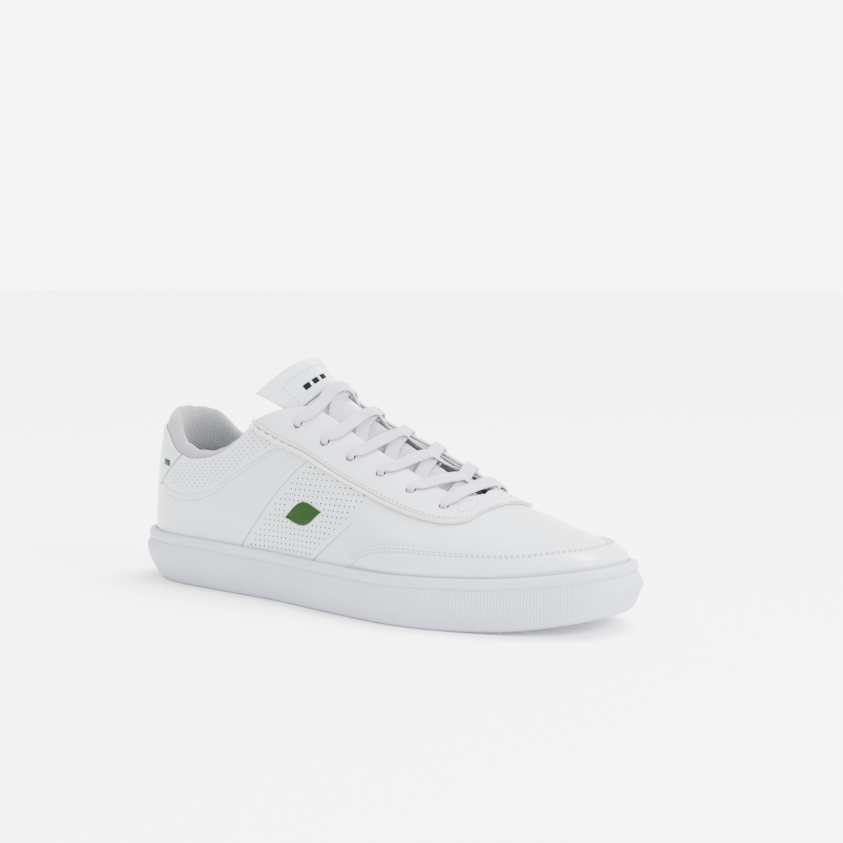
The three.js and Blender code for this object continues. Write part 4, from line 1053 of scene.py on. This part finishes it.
# ---- marks -----------------------------------------------
def build_marks():
    def leaf(u, v, depth):
        reach = (u - 0.5) * LEAF["length"]
        width = (v - 0.5) * LEAF["height"] * np.sin(np.pi * mix(0.02, 0.98, u)) ** 1.35
        dx = reach * math.cos(LEAF["tilt"]) - width * math.sin(LEAF["tilt"])
        dz = reach * math.sin(LEAF["tilt"]) + width * math.cos(LEAF["tilt"])
        vein = 0.18 * np.exp(-(((v - 0.5) * 14) ** 2)) * (depth > GAP + 0.3)
        return on_upper(LEAF["x"] + dx, LEAF["t"] + dz / LEAF["per_climb"], LATERAL, depth - vein)
    panel("leaf_mark", leaf, [M_GREEN], GAP - 0.35, GAP + 0.5, step=0.8, slot="mark_green",
          stands_for="side_leaf")

    def bar(u, v, depth):
        x = HEEL_BAR["start"] + HEEL_BAR["length"] * u
        return on_upper(x, mix(HEEL_BAR["low"], HEEL_BAR["high"], v), LATERAL, depth)
    panel("heel_mark", bar, [M_GREEN], GAP - 0.35, GAP + 0.2, step=0.6, slot="mark_green",
          stands_for="heel_bar")

    for k, start in enumerate(TONGUE_BARS["starts"]):
        def label(u, v, depth, start=start):
            w = mix(start, start + TONGUE_BARS["width"], u)
            s = mix(TONGUE_BARS["low"], TONGUE_BARS["high"], v)
            return on_tongue(s, w, depth + TONGUE_SWELL * (1 - w**4))
        panel(f"tongue_mark_{k}", label, [M_BLACK], 0.02, 0.25, step=0.8, body="tongue_flap",
              slot="print_black", stands_for="tongue_bar")


# ---- lace ------------------------------------------------
UNDER = -LEATHER - GAP - LACE_THICKNESS / 2 - 0.15
ABOVE = GAP + OVERLAY + GAP + LACE_THICKNESS / 2 + 0.15
CREST_HALF = {LATERAL: 4.5, MEDIAL: 1.8}
LIFT = {LATERAL: 4.2, MEDIAL: 2.2}


def lace_point(side, x, t, depth, width, upright=False):
    one = np.array([float(x)])
    p = on_upper(one, np.array([t]), side, np.array([float(depth)]))[0]
    return p, upper_normal(one, np.array([t]), side)[0], width, upright


def over_tongue(x, across, lift):
    s = float(np.interp(-x, -CREST_LINE[:, 0], CREST_AT))
    half = float((HALF_W[0] if across < 0 else HALF_W[1])(s))
    w = across / half
    p = on_tongue(np.array([s]), np.array([w]), np.array([float(lift)]))[0]
    q = on_tongue(np.array([s]), np.array([w]), np.array([0.0]))[0]
    return p, unit(p - q), LACE_WIDTH, False


def through(side, k):
    x, t = EYELETS[side][k]
    return [lace_point(side, x, t + 0.03, UNDER, LACE_THREADED + 1),
            lace_point(side, x, t, UNDER + 0.7, LACE_THREADED, True),
            lace_point(side, x, t, ABOVE - 0.7, LACE_THREADED, True),
            lace_point(side, x, t + 0.03, ABOVE, LACE_THREADED + 1.6)]


def crossing(side, k, lift):
    x, t = EYELETS[side][k]
    nx, nt = EYELETS[-side][k + 1]

    def at(f):
        return mix(x, nx, f)
    return [lace_point(side, at(0.14), t + 0.075, ABOVE, LACE_WIDTH),
            lace_point(side, at(0.26), 0.8, ABOVE + 0.5, LACE_WIDTH),
            over_tongue(at(0.42), side * CREST_HALF[side], lift),
            over_tongue(at(0.52), 0.0, lift),
            over_tongue(at(0.62), -side * CREST_HALF[-side], lift * 0.8),
            lace_point(-side, at(0.78), 0.785, UNDER - 0.55, LACE_WIDTH),
            lace_point(-side, at(0.9), nt + 0.07, UNDER, LACE_WIDTH - 1)]


def strand(side):
    path, at = [], side
    for k in range(5):
        path += through(at, k) + crossing(at, k, LIFT[at])
        at = -at
    return path + through(at, 5)


def build_lace():
    def tail(side):
        x, t = EYELETS[side][0]
        return [lace_point(side, x + dx, t + dt, depth, LACE_THREADED)
                for dx, dt, depth in ((0, -0.07, -2.4), (-1, -0.15, -2.7), (-2, -0.22, -3.2))]

    def bar(side):
        return [lace_point(side, 61, t, ABOVE + 0.4, LACE_WIDTH) for t in (0.73, 0.85)]
    path = (tail(LATERAL)[::-1] + strand(LATERAL) + bar(MEDIAL) + bar(LATERAL)[::-1]
            + strand(MEDIAL)[::-1] + tail(MEDIAL))
    per = 7
    centre = catmull(np.array([p[0] for p in path]), per)
    tangent = unit(np.gradient(centre, axis=0))
    rows, uvs = [], []
    previous = None
    length = 0.0
    turn = np.arange(LACE_SIDES) * 2 * np.pi / LACE_SIDES
    flat_u = np.sign(np.cos(turn)) * np.abs(np.cos(turn)) ** 0.35
    flat_v = np.sign(np.sin(turn)) * np.abs(np.sin(turn)) ** 0.75
    for i in range(len(centre)):
        k = min(i // per, len(path) - 2)
        f = i / per - k
        t = tangent[i]
        ends = [np.array([1.0, 0, 0]) if p[3] else unit(np.cross(t, p[1])) for p in (path[k], path[k + 1])]
        if ends[0] @ ends[1] < 0:
            ends[1] = -ends[1]
        across = mix(ends[0], ends[1], smooth_step(0, 1, f))
        across = unit(across - t * (across @ t))
        if previous is not None and across @ previous < 0:
            across = -across
        previous = across
        face = unit(np.cross(t, across))
        half = mix(path[k][2], path[k + 1][2], f) / 2
        rows.append(centre[i] + flat_u[:, None] * across * half + flat_v[:, None] * face * LACE_THICKNESS / 2)
        if i:
            length += float(np.linalg.norm(centre[i] - centre[i - 1]))
        uvs.append(np.stack([flat_u * half, np.full(LACE_SIDES, length)], -1))
    faces = closed_tube(len(rows), LACE_SIDES)
    make_object("lace_woven", np.concatenate(rows), faces, [M_LACE], slot="lace_white",
                stands_for="lace", uv=np.concatenate(uvs), sharp=75)
    print("lace length mm", round(length, 1))


# ---- the rest --------------------------------------------
def build_stitching():
    make_object("stitching", np.concatenate(SHOE_STITCHES["points"]), SHOE_STITCHES["faces"], [M_THREAD_SHADED],
                sharp=80)
    make_object("tongue_stitching", np.concatenate(TONGUE_STITCHES["points"]), TONGUE_STITCHES["faces"],
                [M_THREAD_SHADED], body="tongue_flap", sharp=80)


def finish_frame_nodes():
    """CAD nodes that stay in view, or behind it, take a detailed material."""
    table = (
        (M_FOAM, "midsole_foam collar_foam tongue_foam tongue_top_foam"),
        (M_BOARD, "insole_board toe_puff heel_counter"),
        (M_INNER, "footbed vamp_lining quarter_lining tongue_lining tongue_top_lining"),
        (M_LEATHER, "facing_lining_lateral facing_lining_medial"),
        (M_TIP, "aglet_lateral aglet_medial"),
    )
    for material, names in table:
        for name in names.split():
            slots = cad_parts[name].data.materials
            slots.clear()
            slots.append(material)


build_sole()
build_upper()
build_collar()
build_tongue()
build_marks()
build_lace()
build_stitching()
finish_frame_nodes()
